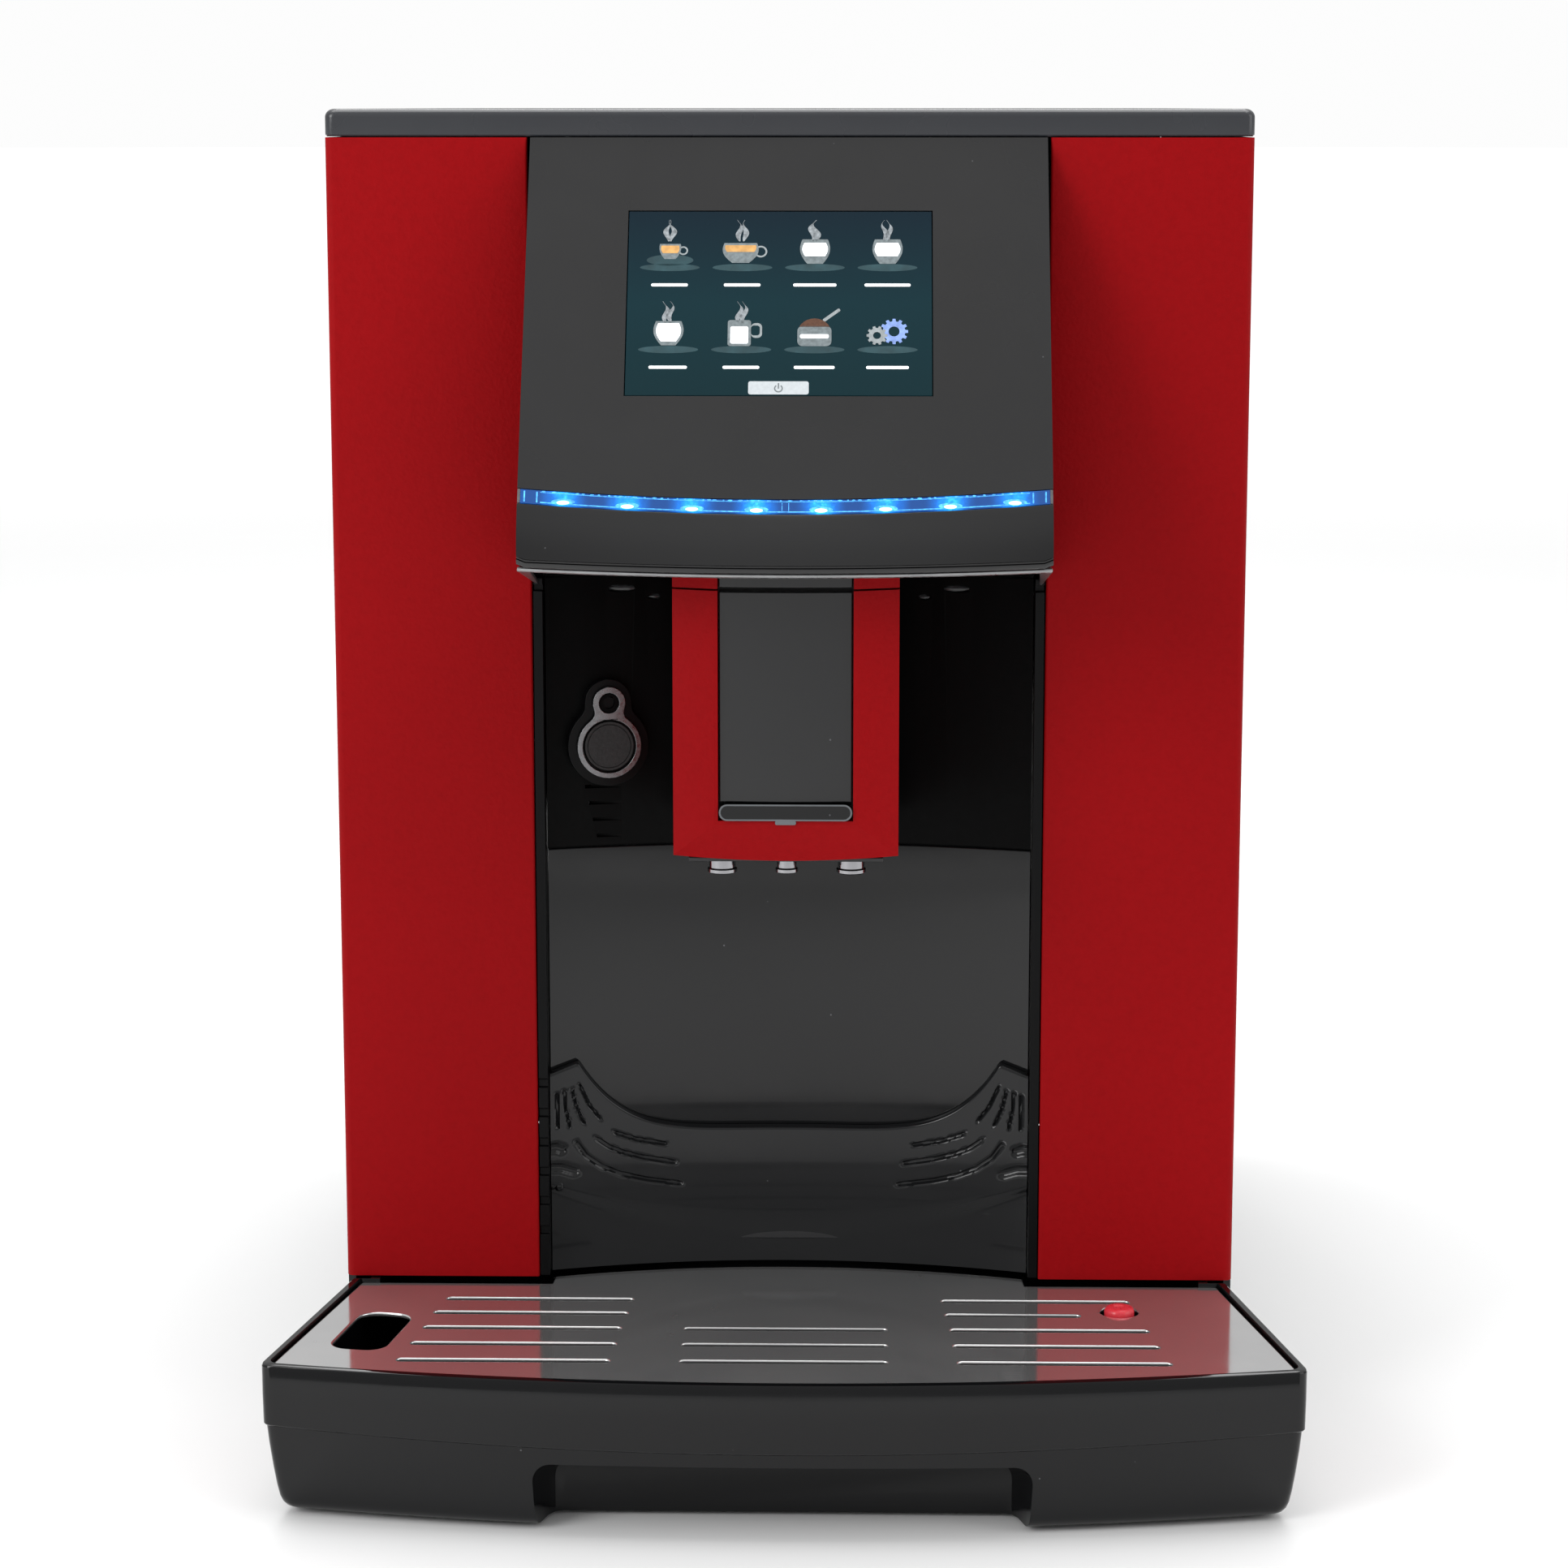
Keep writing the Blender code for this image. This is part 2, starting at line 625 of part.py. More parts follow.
def make_chin():
    """The glossy curved trim below the light bar."""
    back = -181.2
    loops = []
    for x in spread(-FASCIA_HALF, FASCIA_HALF, 15):
        rise = 1 - (x / FASCIA_HALF) ** 2
        top_y, top_z = on_fascia(fascia_end(x, 2 * GAP + LIGHT_HEIGHT))
        ledge_y, ledge_z = on_fascia(fascia_end(x, 2 * GAP + LIGHT_HEIGHT), -WALL - GAP)
        low_y, low_z = -189.4 - 6.0 * rise, 291.2 - 1.2 * rise
        mid_y, mid_z = (top_y + low_y) / 2 - 0.8, (top_z + low_z) / 2
        loops.append([(x, back, ledge_z), (x, ledge_y, ledge_z), (x, top_y, top_z), (x, mid_y, mid_z),
                      (x, low_y, low_z + 1.4), (x, low_y + 1.4, low_z), (x, back, low_z + 0.8)])
    loft("fascia_chin", loops, GLOSS)


def make_fascia_housing():
    """The moulding behind the fascia: a wedge that is open at the back and around the spout."""
    front_top = on_fascia(2.0, -WALL - GAP)
    knee_y = -180.8
    knee_z = on_fascia((knee_y - on_fascia(0.0, -WALL - GAP)[0]) / -math.sin(SLOPE), -WALL - GAP)[1]
    back = -98.0
    outer = [front_top, (knee_y, knee_z), (knee_y, 293.6), (FRONT, BAY_TOP + 0.2), (back, BAY_TOP + 0.2),
             (back, front_top[1])]
    housing = plate("fascia_housing", [outer], 2 * FASCIA_HALF, SATIN, turn=(90, 0, 90))
    inner_top = on_fascia(2.0, -2 * WALL - GAP)
    inner = [(inner_top[0], front_top[1] + 5), inner_top, (knee_y + WALL, knee_z - 1.5),
             (knee_y + WALL, 296.0),
             (FRONT, BAY_TOP + 0.2 + WALL), (back + 5, BAY_TOP + 0.2 + WALL), (back + 5, front_top[1] + 5)]
    hollow = plate("hollow", [inner], 2 * (FASCIA_HALF - WALL), turn=(90, 0, 90), cutter=True)
    spout_way = box("spout_way", (-SPOUT_HALF - 0.6, SPOUT_FRONT - 1.2, 270), (SPOUT_HALF + 0.6, -90, 300),
                    cutter=True)
    rail_way = box("rail_way", (-30.0, -112.0, 270), (30.0, -90, 300), cutter=True)
    x0, y0, x1, y1 = SCREEN
    screen_way = plate("screen_way", [rectangle(x0 - 3, y0 - 3, x1 + 3, y1 + 3)], 8.0, cutter=True,
                       **in_fascia_plane(0.0, 8.0))
    cut(housing, hollow, spout_way, rail_way, screen_way)


# ---------------------------------------------------------------- spout
NOZZLE_Y = -152.0
NOZZLES = (
    ("coffee_nozzle_left", -20.2, 4.2),
    ("coffee_nozzle_right", 20.2, 4.2),
    ("milk_nozzle", 0.0, 3.1),
)


def framed_box(name, z0, z1, material, frame_low):
    """A box whose front is a raised frame: its face slopes back from the window to the outer edge."""
    back, edge_y = -118.0, SPOUT_FRONT + 4.5
    stations = spread(-SPOUT_HALF, SPOUT_HALF, 9)
    droop = 1.7 if frame_low else 0.0
    low = [(x, z0 - droop * (1 - (x / SPOUT_HALF) ** 2)) for x in stations]
    outer = low + [(x, z1) for x in reversed(stations)]
    half, inner_low = WINDOW_HALF + 1.2, z0 + (10.4 if frame_low else 0.0)
    face = [(x * half / SPOUT_HALF, inner_low) for x in stations]
    face += [(x * half / SPOUT_HALF, z1) for x in reversed(stations)]
    rings = [[(x, back, z) for x, z in outer], [(x, edge_y, z) for x, z in outer],
             [(x, SPOUT_FRONT, z) for x, z in face]]
    return loft(name, rings, material)


def make_spout():
    inside = SPOUT_HALF - WALL
    front = SPOUT_FRONT + 6.8
    shell = framed_box("spout_shell", SPOUT_BOTTOM, SPOUT_SEAM, RED, True)
    hollow = box("hollow", (-inside, front, SPOUT_BOTTOM + 3), (inside, -100, SPOUT_SEAM + 9), cutter=True)
    window_way = box("way", (-WINDOW_HALF, SPOUT_FRONT - 5, 212.0), (WINDOW_HALF, front + 5, SPOUT_SEAM + 9),
                     cutter=True)
    holes = [cylinder("hole", (x, NOZZLE_Y, SPOUT_BOTTOM), radius + 1.0, 20, sides=20, cutter=True)
             for _, x, radius in NOZZLES]
    cut(shell, hollow, window_way, *holes)

    collar = framed_box("spout_collar", SPOUT_SEAM + 0.6, 312.0, RED, False)
    hollow = box("hollow", (-inside, front, 270), (inside, -120.5, 330), cutter=True)
    window_way = box("way", (-WINDOW_HALF, SPOUT_FRONT - 5, 270), (WINDOW_HALF, front + 5, 302.0),
                     cutter=True)
    carriage_way = box("carriage_way", (-15.6, -130, 270), (15.6, -100, 330), cutter=True)
    cut(collar, hollow, window_way, carriage_way)

    core = box("spout_core", (-inside + 0.5, front + 0.5, SPOUT_BOTTOM + 3 + GAP),
               (inside - 0.5, -121.2, 318.0), SATIN)
    carriage = box("carriage", (-15.0, -122.0, 215.0), (15.0, -113.6, 318.0), cutter=True)
    core = join(core, carriage)
    cut(core, box("groove", (-9.4, -117.0, 200), (9.4, -110.0, 330), cutter=True))
    box("spout_guide_rail", (-9.0, -116.4, 200.0), (9.0, BAY_CENTRE_Y - 0.6, 400.0), STEEL)

    window = box("spout_window", (-WINDOW_HALF + GAP, SPOUT_FRONT + 0.9, 214.0),
                 (WINDOW_HALF - GAP, front + 0.2, SPOUT_SEAM - GAP), GLOSS)
    lip = plate("lip", [rounded_rect(-WINDOW_HALF + GAP, 212.3, WINDOW_HALF - GAP, 217.0, 1.5)], 7.0,
                at=(0, SPOUT_FRONT + 2.6, 0), turn=(90, 0, 0), cutter=True)
    join(window, lip)

    for name, x, radius in NOZZLES:
        bore, top, bottom = radius * 0.55, SPOUT_BOTTOM + 3, 192.0
        profile = [(radius, top), (radius, bottom + 1.2), (radius + 0.5, bottom + 1.2),
                   (radius + 0.5, bottom), (bore, bottom), (bore, top)]
        turned_profile(name, list(reversed(profile)), (x, NOZZLE_Y), CHROME, steps=20)


# ---------------------------------------------------------------- drip tray
def tray_outline(inset=0.0, rear=TRAY_REAR_Y, corner=7.0, shrink=0.0, steps=10):
    """The flared tray in plan, from its rear left round the front to its rear right."""
    half_front, half_rear = TRAY_HALF_FRONT - inset - shrink, TRAY_HALF_REAR - inset - shrink * 0.7
    corner_y = TRAY_CORNER_Y + inset + shrink
    bulge = TRAY_CORNER_Y - TRAY_FRONT_Y
    reach = half_front - corner
    front = [(x, corner_y - bulge * (1 - (x / half_front) ** 2)) for x in spread(-reach, reach, steps + 1)]
    first_y = front[0][1]
    left = [(-half_rear, rear), (-half_front + 0.4, corner_y + corner * 0.9),
            (-half_front + corner * 0.3, first_y + corner * 0.32)]
    right = [(-x, y) for x, y in reversed(left)]
    return left + front + right


def crease_z(x):
    """Height of the line where the tray's upright band meets its undercut, low in the middle."""
    return 30.4 - 2.6 * (1 - (x / TRAY_HALF_FRONT) ** 2)


def make_tray():
    rim = tray_outline()
    belly = tray_outline(shrink=0.9)
    foot = tray_outline(shrink=4.4)
    base = tray_outline(shrink=7.6)
    loops = [[(x, y, TRAY_TOP) for x, y in rim], [(x, y, crease_z(x)) for x, y in belly],
             [(x, y, 5.0) for x, y in foot], [(x, y, 1.6) for x, y in base]]
    tray = loft("drip_tray", loops, GLOSS)
    rear_low, rear_half, rear_end = FOOT + 3.6, 137.0, 52.0
    rear = box("rear", (-rear_half, TRAY_REAR_Y - 2, rear_low), (rear_half, rear_end, TRAY_TOP), cutter=True)
    # the rear ends of the flared part are square, and stand clear of the base pan
    tray = join(tray, rear)

    pocket_edge = tray_outline(inset=2.4, rear=TRAY_REAR_Y - 0.1)
    pocket = flat_prism("pocket", pocket_edge, TRAY_TOP - 2.8, TRAY_TOP + 5)
    basin = flat_prism("basin", tray_outline(inset=9.0, rear=TRAY_REAR_Y - 3, shrink=5.0), 25.0, TRAY_TOP + 5)
    sump = flat_prism("sump", tray_outline(inset=9.0, rear=TRAY_REAR_Y - 3, shrink=18.0), 5.2, TRAY_TOP + 5)
    well_low, well_high, well_half = rear_low + 2.8, TRAY_TOP + 5, rear_half - 3
    gutter_from, gutter_to = (-well_half, TRAY_REAR_Y - 6, well_low), (well_half, -99.5, well_high)
    gutter = box("gutter", gutter_from, gutter_to, cutter=True)
    bin_from, bin_to = (-well_half, -96.5, well_low), (well_half, rear_end - 3, well_high)
    bin_well = box("bin_well", bin_from, bin_to, cutter=True)
    grip = loft("grip", [grip_outline(-240.0, 81.0, 25.5), grip_outline(-206.0, 71.0, 20.0)], cutter=True)
    cut(tray, pocket, basin, sump, gutter, bin_well, grip)


def grip_outline(y, half, top):
    """The finger recess under the tray's front edge, in section at one depth."""
    return [(x, y, z) for x, z in rounded_rect(-half, -12.0, half, top, 6.0, 3)]


def flat_prism(name, outline, z0, z1):
    return plate(name, [outline], z1 - z0, at=(0, 0, (z0 + z1) / 2), cutter=True)


SLOT_ROWS = (  # y, inner end, outer end, and the end of the slot on the right where it differs
    (-141.0, 49.5, 110.4, None),
    (-155.5, 50.5, 113.0, 93.8),
    (-170.8, 51.8, 114.7, None),
    (-186.7, 52.4, 116.8, None),
    (-203.0, 53.5, 119.3, None),
)
MIDDLE_HALF = 32.2
FLOAT_CENTRE = (106.4, -151.0)
FLOAT_RADIUS = 4.8


def make_grid():
    """The slotted plate on the tray, which reaches back to the bay wall."""
    outline = tray_outline(inset=3.1, rear=TRAY_REAR_Y - 0.5, corner=6.0)
    reach = 77.4
    rear = [(reach, TRAY_REAR_Y - 0.5)]
    rear += [(x, bay_wall_y(x) - 0.9) for x in spread(reach - 0.4, 0.4 - reach, 11)]
    rear.append((-reach, TRAY_REAR_Y - 0.5))
    holes = []
    for n, (y, inner, outer, short) in enumerate(SLOT_ROWS):
        holes.append(slot(-outer, -inner, y, 3.0, 2))
        holes.append(slot(inner, short or outer, y, 3.0, 2))
        if n >= 2:
            holes.append(slot(-MIDDLE_HALF, MIDDLE_HALF, y, 3.0, 2))
    finger = rounded_rect(-139.4, -193.4, -122.0, -156.6, 5.5)
    holes.append(turned_about(finger, -130.5, -177.5, -9.7))
    holes.append(circle(*FLOAT_CENTRE, 6.1, 20))
    plate("drip_grid", [outline + rear, *holes], 1.4, STEEL, at=(0, 0, TRAY_TOP - 1.9))


def make_float():
    x, y = FLOAT_CENTRE
    low = 5.6
    high = TRAY_TOP + 0.6
    stem = cylinder("tray_float", (x, y, (low + high) / 2), FLOAT_RADIUS, high - low, FLOAT_RED, sides=20)
    pad = cylinder("pad", (x, y, low + 4), 10.0, 8.0, sides=20, cutter=True)
    set_origin(round_edges(join(stem, pad), 0.8, 2, 50), x, y, low)


def riser_top(x):
    """The upper edge of the splash riser: a peak near each end and a droop between."""
    peak, peak_x = 120.8, 68.8
    if abs(x) >= peak_x:
        return peak - 3.0 * (abs(x) - peak_x) / 9.0
    t = (peak_x - abs(x)) / peak_x
    return peak - 24.0 * (1 - (1 - t) ** 5)


def make_grounds_container():
    loops = []
    half = [78.0, 68.8, 65.0, 60.0, 54.0, 46.0, 35.0, 22.0, 8.0]
    for x in [-x for x in half] + half[::-1]:
        y = bay_wall_y(x)
        loops.append([(x, y, TRAY_TOP + 0.4), (x, y + WALL, TRAY_TOP + 0.4), (x, y + WALL, riser_top(x)),
                      (x, y, riser_top(x))])
    riser = loft("grounds_container", loops, GLOSS)
    front, back, low, high = -94.0, 30.0, 12.8, 87.0
    bin_outer = box("bin", (-60, front, low), (60, back, high), cutter=True)
    bridge = box("bridge", (-30, bay_wall_y(30) + 1.5, 58.0), (30, front + 1, high), cutter=True)
    riser = join(riser, bin_outer, bridge)
    hollow = box("hollow", (-57.5, front + 2.5, low + 2.5), (57.5, back - 2.5, high + 9), cutter=True)
    cut(riser, hollow)


# ---------------------------------------------------------------- hopper, lids, tank and knob
def square_ring(centre, half_x, half_y, radius, z, steps=3):
    x, y = centre
    return [(a, b, z) for a, b in rounded_rect(x - half_x, y - half_y, x + half_x, y + half_y, radius, steps)]


def middle_of(opening):
    return ((opening[0] + opening[2]) / 2, (opening[1] + opening[3]) / 2)


def make_top_pieces():
    rim = 422.6
    centre = middle_of(HOPPER)
    half = [(HOPPER[2] - HOPPER[0]) / 2 - 0.6, (HOPPER[3] - HOPPER[1]) / 2 - 0.6]
    loft("bean_hopper", [square_ring(centre, *half, 6, rim), square_ring(centre, *half, 6, 392.0),
                         square_ring(GRINDER_AXIS, 19, 19, 14, 353.5)], SMOKED, caps=(False, False), wall=2.2)
    make_lid("hopper_lid", HOPPER, GLOSS)

    centre = middle_of(POWDER)
    half = [(POWDER[2] - POWDER[0]) / 2 - 0.6, (POWDER[3] - POWDER[1]) / 2 - 0.6]
    loft("powder_chute", [square_ring(centre, *half, 5, rim), square_ring(centre, *half, 5, 408.0),
                          square_ring((centre[0], -20.0), 11, 11, 8, 330.0)], SATIN, caps=(False, False),
         wall=2.0)
    make_lid("powder_lid", POWDER, GLOSS)

    x, y = KNOB_CENTRE
    knob = cylinder("grind_knob", (x, y, TOP - 4.2), KNOB_RADIUS, 7.6, GREY, sides=28)
    rib = box("rib", (x - 1.8, y - 11.5, TOP - 1.0), (x + 1.8, y + 11.5, TOP - 0.2), cutter=True)
    shaft = cylinder("shaft", (x, y, TOP - 18), 3.5, 24, sides=14, cutter=True)
    sides = [box("flat", (x + 4.2, y - 12, TOP - 3.6), (x + 13, y + 12, TOP + 5), cutter=True),
             box("flat", (x - 13, y - 12, TOP - 3.6), (x - 4.2, y + 12, TOP + 5), cutter=True)]
    knob = join(cut(knob, *sides), shaft, rib)
    set_origin(knob, x, y, TOP - 4.2)


def make_tank():
    centre = middle_of(TANK)
    half = [(TANK[2] - TANK[0]) / 2 - 0.7, (TANK[3] - TANK[1]) / 2 - 0.7]
    floor = 232.0
    rings = [square_ring(centre, *half, 10, 422.6), square_ring(centre, half[0] - 2, half[1] - 2, 10, floor)]
    loft("water_tank", rings, SMOKED, caps=(False, True), wall=2.2)
    make_lid("tank_lid", TANK, SMOKED, stubs=False)

    x0, y0, x1, y1 = TANK
    shelf = plate("tank_shelf", [rectangle(x0 - 3, y0 - 4, x1 + 4, y1 + 3)], 4.0, GREY,
                  at=(0, 0, floor - GAP - 2))
    seat = cylinder("seat", (*centre, floor - 14), 13.0, 24.0, sides=24, cutter=True)
    join(shelf, seat)


# ---------------------------------------------------------------- service door
def make_service_door():
    axis_x, axis_y = DOOR_AXIS
    low, high = DOOR[1] + 0.7, DOOR[3] - 0.7
    leaf = rectangle(DOOR[0] + 0.7, low, axis_y, high)
    door = plate("service_door", [leaf], 2.0, SATIN, at=(BODY_HALF - 1.2, 0, 0), turn=(90, 0, 90))
    barrel = cylinder("barrel", (axis_x, axis_y, (low + high) / 2), 1.9, high - low, sides=16, cutter=True)
    grip = box("grip", (BODY_HALF - 1.2, DOOR[0] + 4, 180), (BODY_HALF + 5, DOOR[0] + 12, 216), cutter=True)
    door = cut(join(door, barrel), grip)
    set_origin(door, axis_x, axis_y, (low + high) / 2)


# ---------------------------------------------------------------- inside: grinder and brew unit
def make_grinder():
    x, y = GRINDER_AXIS
    top, floor = 350.0, 300.0
    body = [(34, floor - 6), (34, top), (17, top), (17, 338), (28, 332), (28, floor), (6.2, floor),
            (6.2, floor - 6)]
    turned_profile("grinder_body", body, (x, y), GREY, steps=28)
    burr = [(5.5, 334), (9, 333), (24, 312), (24, 304), (4.5, 304), (4.5, 270), (0, 270), (0, 334)]
    burr = turned_profile("lower_burr", burr, (x, y), BURR_STEEL, steps=24)
    motor = [(27, 190), (27, 268), (12, 268), (12, 292), (5.2, 292), (5.2, 268.6), (0, 268.6), (0, 190)]
    turned_profile("grinder_motor", motor, (x, y), GREY, steps=28)


def make_brew_unit():
    x, y = BREW_AXIS
    low, high, deck = 98.0, 252.0, 5.0
    section = [(x - 40, low), (x + 30, low), (x + 30, low + deck), (x - 35, low + deck),
               (x - 35, high - deck),
               (x + 30, high - deck), (x + 30, high), (x - 40, high)]
    frame = plate("brew_frame", [section], 76.0, GREY, at=(0, y, 0), turn=(90, 0, 0))
    chamber = cylinder("chamber", (x, y, 130), 25.0, 60.0, sides=28, cutter=True)
    bore = cylinder("bore", (x, y, 144), 21.0, 60.0, sides=28, cutter=True)
    spindle_way = cylinder("spindle_way", (x, y, high), 6.6, 30.0, sides=20, cutter=True)
    cut(join(frame, chamber), bore, spindle_way)

    piston = [(20.6, 168), (20.6, 180), (6, 180), (6, 296), (0, 296), (0, 168)]
    turned_profile("brew_piston", piston, (x, y), ALUMINIUM, steps=24)

    gear_low, gear_high = high + 0.6, high + 8.0
    wheel = plate("brew_gear", [gear(GEAR_TEETH), circle(0, 0, 6.5, 20)], gear_high - gear_low, GREY,
                  at=(x, y, (gear_low + gear_high) / 2))
    set_origin(wheel, x, y, (gear_low + gear_high) / 2)
    pinion_x = x - GEAR_CENTRES
    half_tooth = 180.0 / PINION_TEETH
    pinion = plate("brew_pinion", [turned_about(gear(PINION_TEETH), 0, 0, half_tooth), circle(0, 0, 2.4, 14)],
                   gear_high - gear_low, BURR_STEEL, at=(pinion_x, y, (gear_low + gear_high) / 2))
    set_origin(pinion, pinion_x, y, (gear_low + gear_high) / 2)
    motor = cylinder("brew_motor", (pinion_x, y, gear_high + 18), 15.0, 34.0, ALUMINIUM, sides=24)
    shaft = cylinder("shaft", (pinion_x, y, gear_high - 2), 2.2, 12.0, sides=14, cutter=True)
    join(motor, shaft)


# ---------------------------------------------------------------- inside: water and power
def make_water_path():
    cylinder("coffee_boiler", (-112.0, 20.0, 170.0), 24.0, 120.0, ALUMINIUM, sides=28, bevel=3.0, segments=2)
    pump = cylinder("water_pump", (-40.0, 160.0, 70.0), 20.0, 86.0, GREY, axis="X", sides=28)
    nose = cylinder("nose", (16.0, 160.0, 70.0), 8.0, 40.0, axis="X", sides=16, cutter=True)
    tail = cylinder("tail", (-92.0, 160.0, 70.0), 6.0, 30.0, axis="X", sides=16, cutter=True)
    bracket = box("bracket", (-62, 142, FOOT + 3.4), (-20, 178, 56), cutter=True)
    join(pump, nose, tail, bracket)
    tube("tank_hose", [(66, 164, 205.5), (66, 164, 180), (68, 164, 120), (66, 162, 84), (54, 160, 71),
                       (36.6, 160, 70)], 3.2, SILICONE)
    tube("pump_hose", [(-107.5, 160, 70), (-116, 158, 72), (-122, 140, 80), (-120, 90, 96), (-114, 40, 100),
                       (-112, 21, 104), (-112, 20, 109.4)], 2.6, SILICONE)
    tube("brew_hose", [(-112, 20, 230.6), (-111, 20, 238), (-100, 30, 248), (-40, 52, 246), (20, 50, 226),
                       (60, 44, 150), (98, 38, 126), (98, 29, 122), (98, 15.6, 122)], 2.6, SILICONE, 22)


def make_electrics():
    board = box("mainboard", (-138.0, 92.0, 130.0), (-136.0, 214.0, 380.0), BOARD)
    heat_sink = box("heat_sink", (-137.0, 110.0, 290.0), (-118.0, 150.0, 360.0), cutter=True)
    transformer = box("transformer", (-137.0, 160.0, 150.0), (-104.0, 205.0, 196.0), cutter=True)
    relays = box("relays", (-137.0, 110.0, 210.0), (-120.0, 196.0, 232.0), cutter=True)
    join(board, heat_sink, transformer, relays)

    x0, z0, x1, z1 = SOCKET
    body = box("power_socket", (x0 + GAP, REAR - 24, z0 + GAP), (x1 - GAP, REAR - 0.2, z1 - GAP), SATIN)
    cavity = box("cavity", (x0 + 2.2, REAR - 18, z0 + 2.2), (x1 - 2.2, REAR + 5, z1 - 2.2), cutter=True)
    body = cut(body, cavity)
    middle_x, middle_z = (x0 + x1) / 2, (z0 + z1) / 2
    pins = []
    for dx, dz in ((-7, -1.5), (0, 2.5), (7, -1.5)):
        x, z = middle_x + dx, middle_z + dz
        pins.append(box("pin", (x - 1, REAR - 20, z - 2), (x + 1, REAR - 6, z + 2), cutter=True))
    join(body, *pins)

    x0, z0, x1, z1 = ROCKER
    middle_z = (z0 + z1) / 2
    pivot_y = REAR - 5.0
    face = [(pivot_y - 3, z0 + 1.4), (pivot_y + 4.2, z0 + 1.0), (pivot_y + 2.8, middle_z),
            (pivot_y + 4.2, z1 - 1.0), (pivot_y - 3, z1 - 1.4)]
    rocker = plate("power_rocker", [face], x1 - x0 - 1.2, RUBBER, at=((x0 + x1) / 2, 0, 0), turn=(90, 0, 90))
    set_origin(rocker, (x0 + x1) / 2, pivot_y, middle_z)
    rocker.rotation_euler = (math.radians(-6.0), 0, 0)


def main():
    make_feet()
    make_casing()
    make_rear_cover()
    make_top_cover()
    make_bay()
    make_milk_port()
    make_fascia()
    make_spout()
    make_tray()
    make_grid()
    make_float()
    make_grounds_container()
    make_top_pieces()
    make_tank()
    make_service_door()
    make_grinder()
    make_brew_unit()
    make_water_path()
    make_electrics()
    for obj in PARTS.objects:
        if obj.type == "MESH":
            obj.data.shade_smooth()
            obj.data.set_sharp_from_angle(angle=math.radians(35))


main()
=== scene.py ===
"""The looks of the bean-to-cup coffee machine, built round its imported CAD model.

Sizes are in millimetres in the CAD model's frame; the helpers turn them into metres.
"""

import json
import math
import random

import bmesh
import bpy
from mathutils import Matrix, Vector
from mathutils.geometry import tessellate_polygon


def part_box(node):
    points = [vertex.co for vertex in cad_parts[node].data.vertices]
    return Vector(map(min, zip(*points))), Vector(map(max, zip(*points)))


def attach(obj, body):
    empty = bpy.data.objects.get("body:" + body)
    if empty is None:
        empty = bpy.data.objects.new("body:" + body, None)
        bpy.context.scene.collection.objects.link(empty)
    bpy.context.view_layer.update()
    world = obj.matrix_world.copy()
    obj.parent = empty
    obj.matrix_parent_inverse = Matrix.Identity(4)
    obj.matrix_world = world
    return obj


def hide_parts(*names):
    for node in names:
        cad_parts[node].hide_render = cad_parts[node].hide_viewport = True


MM = 0.001
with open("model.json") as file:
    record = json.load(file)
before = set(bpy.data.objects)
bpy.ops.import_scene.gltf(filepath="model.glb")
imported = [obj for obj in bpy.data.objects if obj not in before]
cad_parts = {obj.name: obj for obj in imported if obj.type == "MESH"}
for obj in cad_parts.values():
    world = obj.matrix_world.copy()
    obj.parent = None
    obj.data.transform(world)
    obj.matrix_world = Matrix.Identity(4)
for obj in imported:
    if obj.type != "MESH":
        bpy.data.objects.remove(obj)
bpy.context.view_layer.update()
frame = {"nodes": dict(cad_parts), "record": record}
NODES = frame["nodes"]


def corners(node):
    """A CAD node's lowest and highest corners, in millimetres."""
    low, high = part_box(node)
    return low / MM, high / MM


# ---------------------------------------------------------------- sizes taken from the frame
PANEL_LOW, PANEL_HIGH = corners("right_front_panel")
TOP_LOW, TOP_HIGH = corners("top_cover")
SIDE_LOW, SIDE_HIGH = corners("right_side_cover")
SHELL_LOW, SHELL_HIGH = corners("spout_shell")
COLLAR_LOW, COLLAR_HIGH = corners("spout_collar")
TRAY_LOW, TRAY_HIGH = corners("drip_tray")
WALL_LOW, WALL_HIGH = corners("bay_upper_wall")
FLOAT_LOW, FLOAT_HIGH = corners("tray_float")
FASCIA_HALF = corners("fascia_panel")[1].x
CHIN_BACK = corners("fascia_chin")[1].y
GRID_TOP = corners("drip_grid")[1].z
BIN_BOTTOM = corners("grounds_container")[0].z

FRONT = PANEL_LOW.y
REAR = TOP_HIGH.y
TOP = TOP_HIGH.z
LID_LINE = TOP_LOW.z
BODY_HALF = TOP_HIGH.x
BAY_HALF = PANEL_LOW.x - 0.3
TRAY_TOP = TRAY_HIGH.z
GAP = 0.3  # between neighbouring panels
WALL = 2.5
MERGE = 0.00001  # in metres: vertices closer than this become one

SLOPE = math.radians(30.0)  # how far the fascia leans from upright
FASCIA_LENGTH = 119.6  # down the slope, at its sides
FASCIA_DROOP = 3.6  # how much longer it is in the middle
LIGHT_HEIGHT = 4.5
SCREEN = (-49.0, -88.7, 44.4, -25.9)  # on the fascia's slope: low x, low y, high x, high y

BAY_CENTRE_Y = WALL_HIGH.y - WALL
BAY_CURVE = 0.0021  # the wall comes forward by this times x squared
BAY_SEAM = WALL_LOW.z - 0.15
BAY_TOP = WALL_HIGH.z + GAP

SPOUT_HALF = SHELL_HIGH.x
SPOUT_FRONT = SHELL_LOW.y
SPOUT_BACK = SHELL_HIGH.y
SPOUT_SEAM = SHELL_HIGH.z
WINDOW_HALF = 20.8

TRAY_HALF_FRONT = 160.0
TRAY_HALF_REAR = 143.0
TRAY_CORNER_Y = -212.6
TRAY_FRONT_Y = TRAY_LOW.y
TRAY_REAR_Y = -124.0

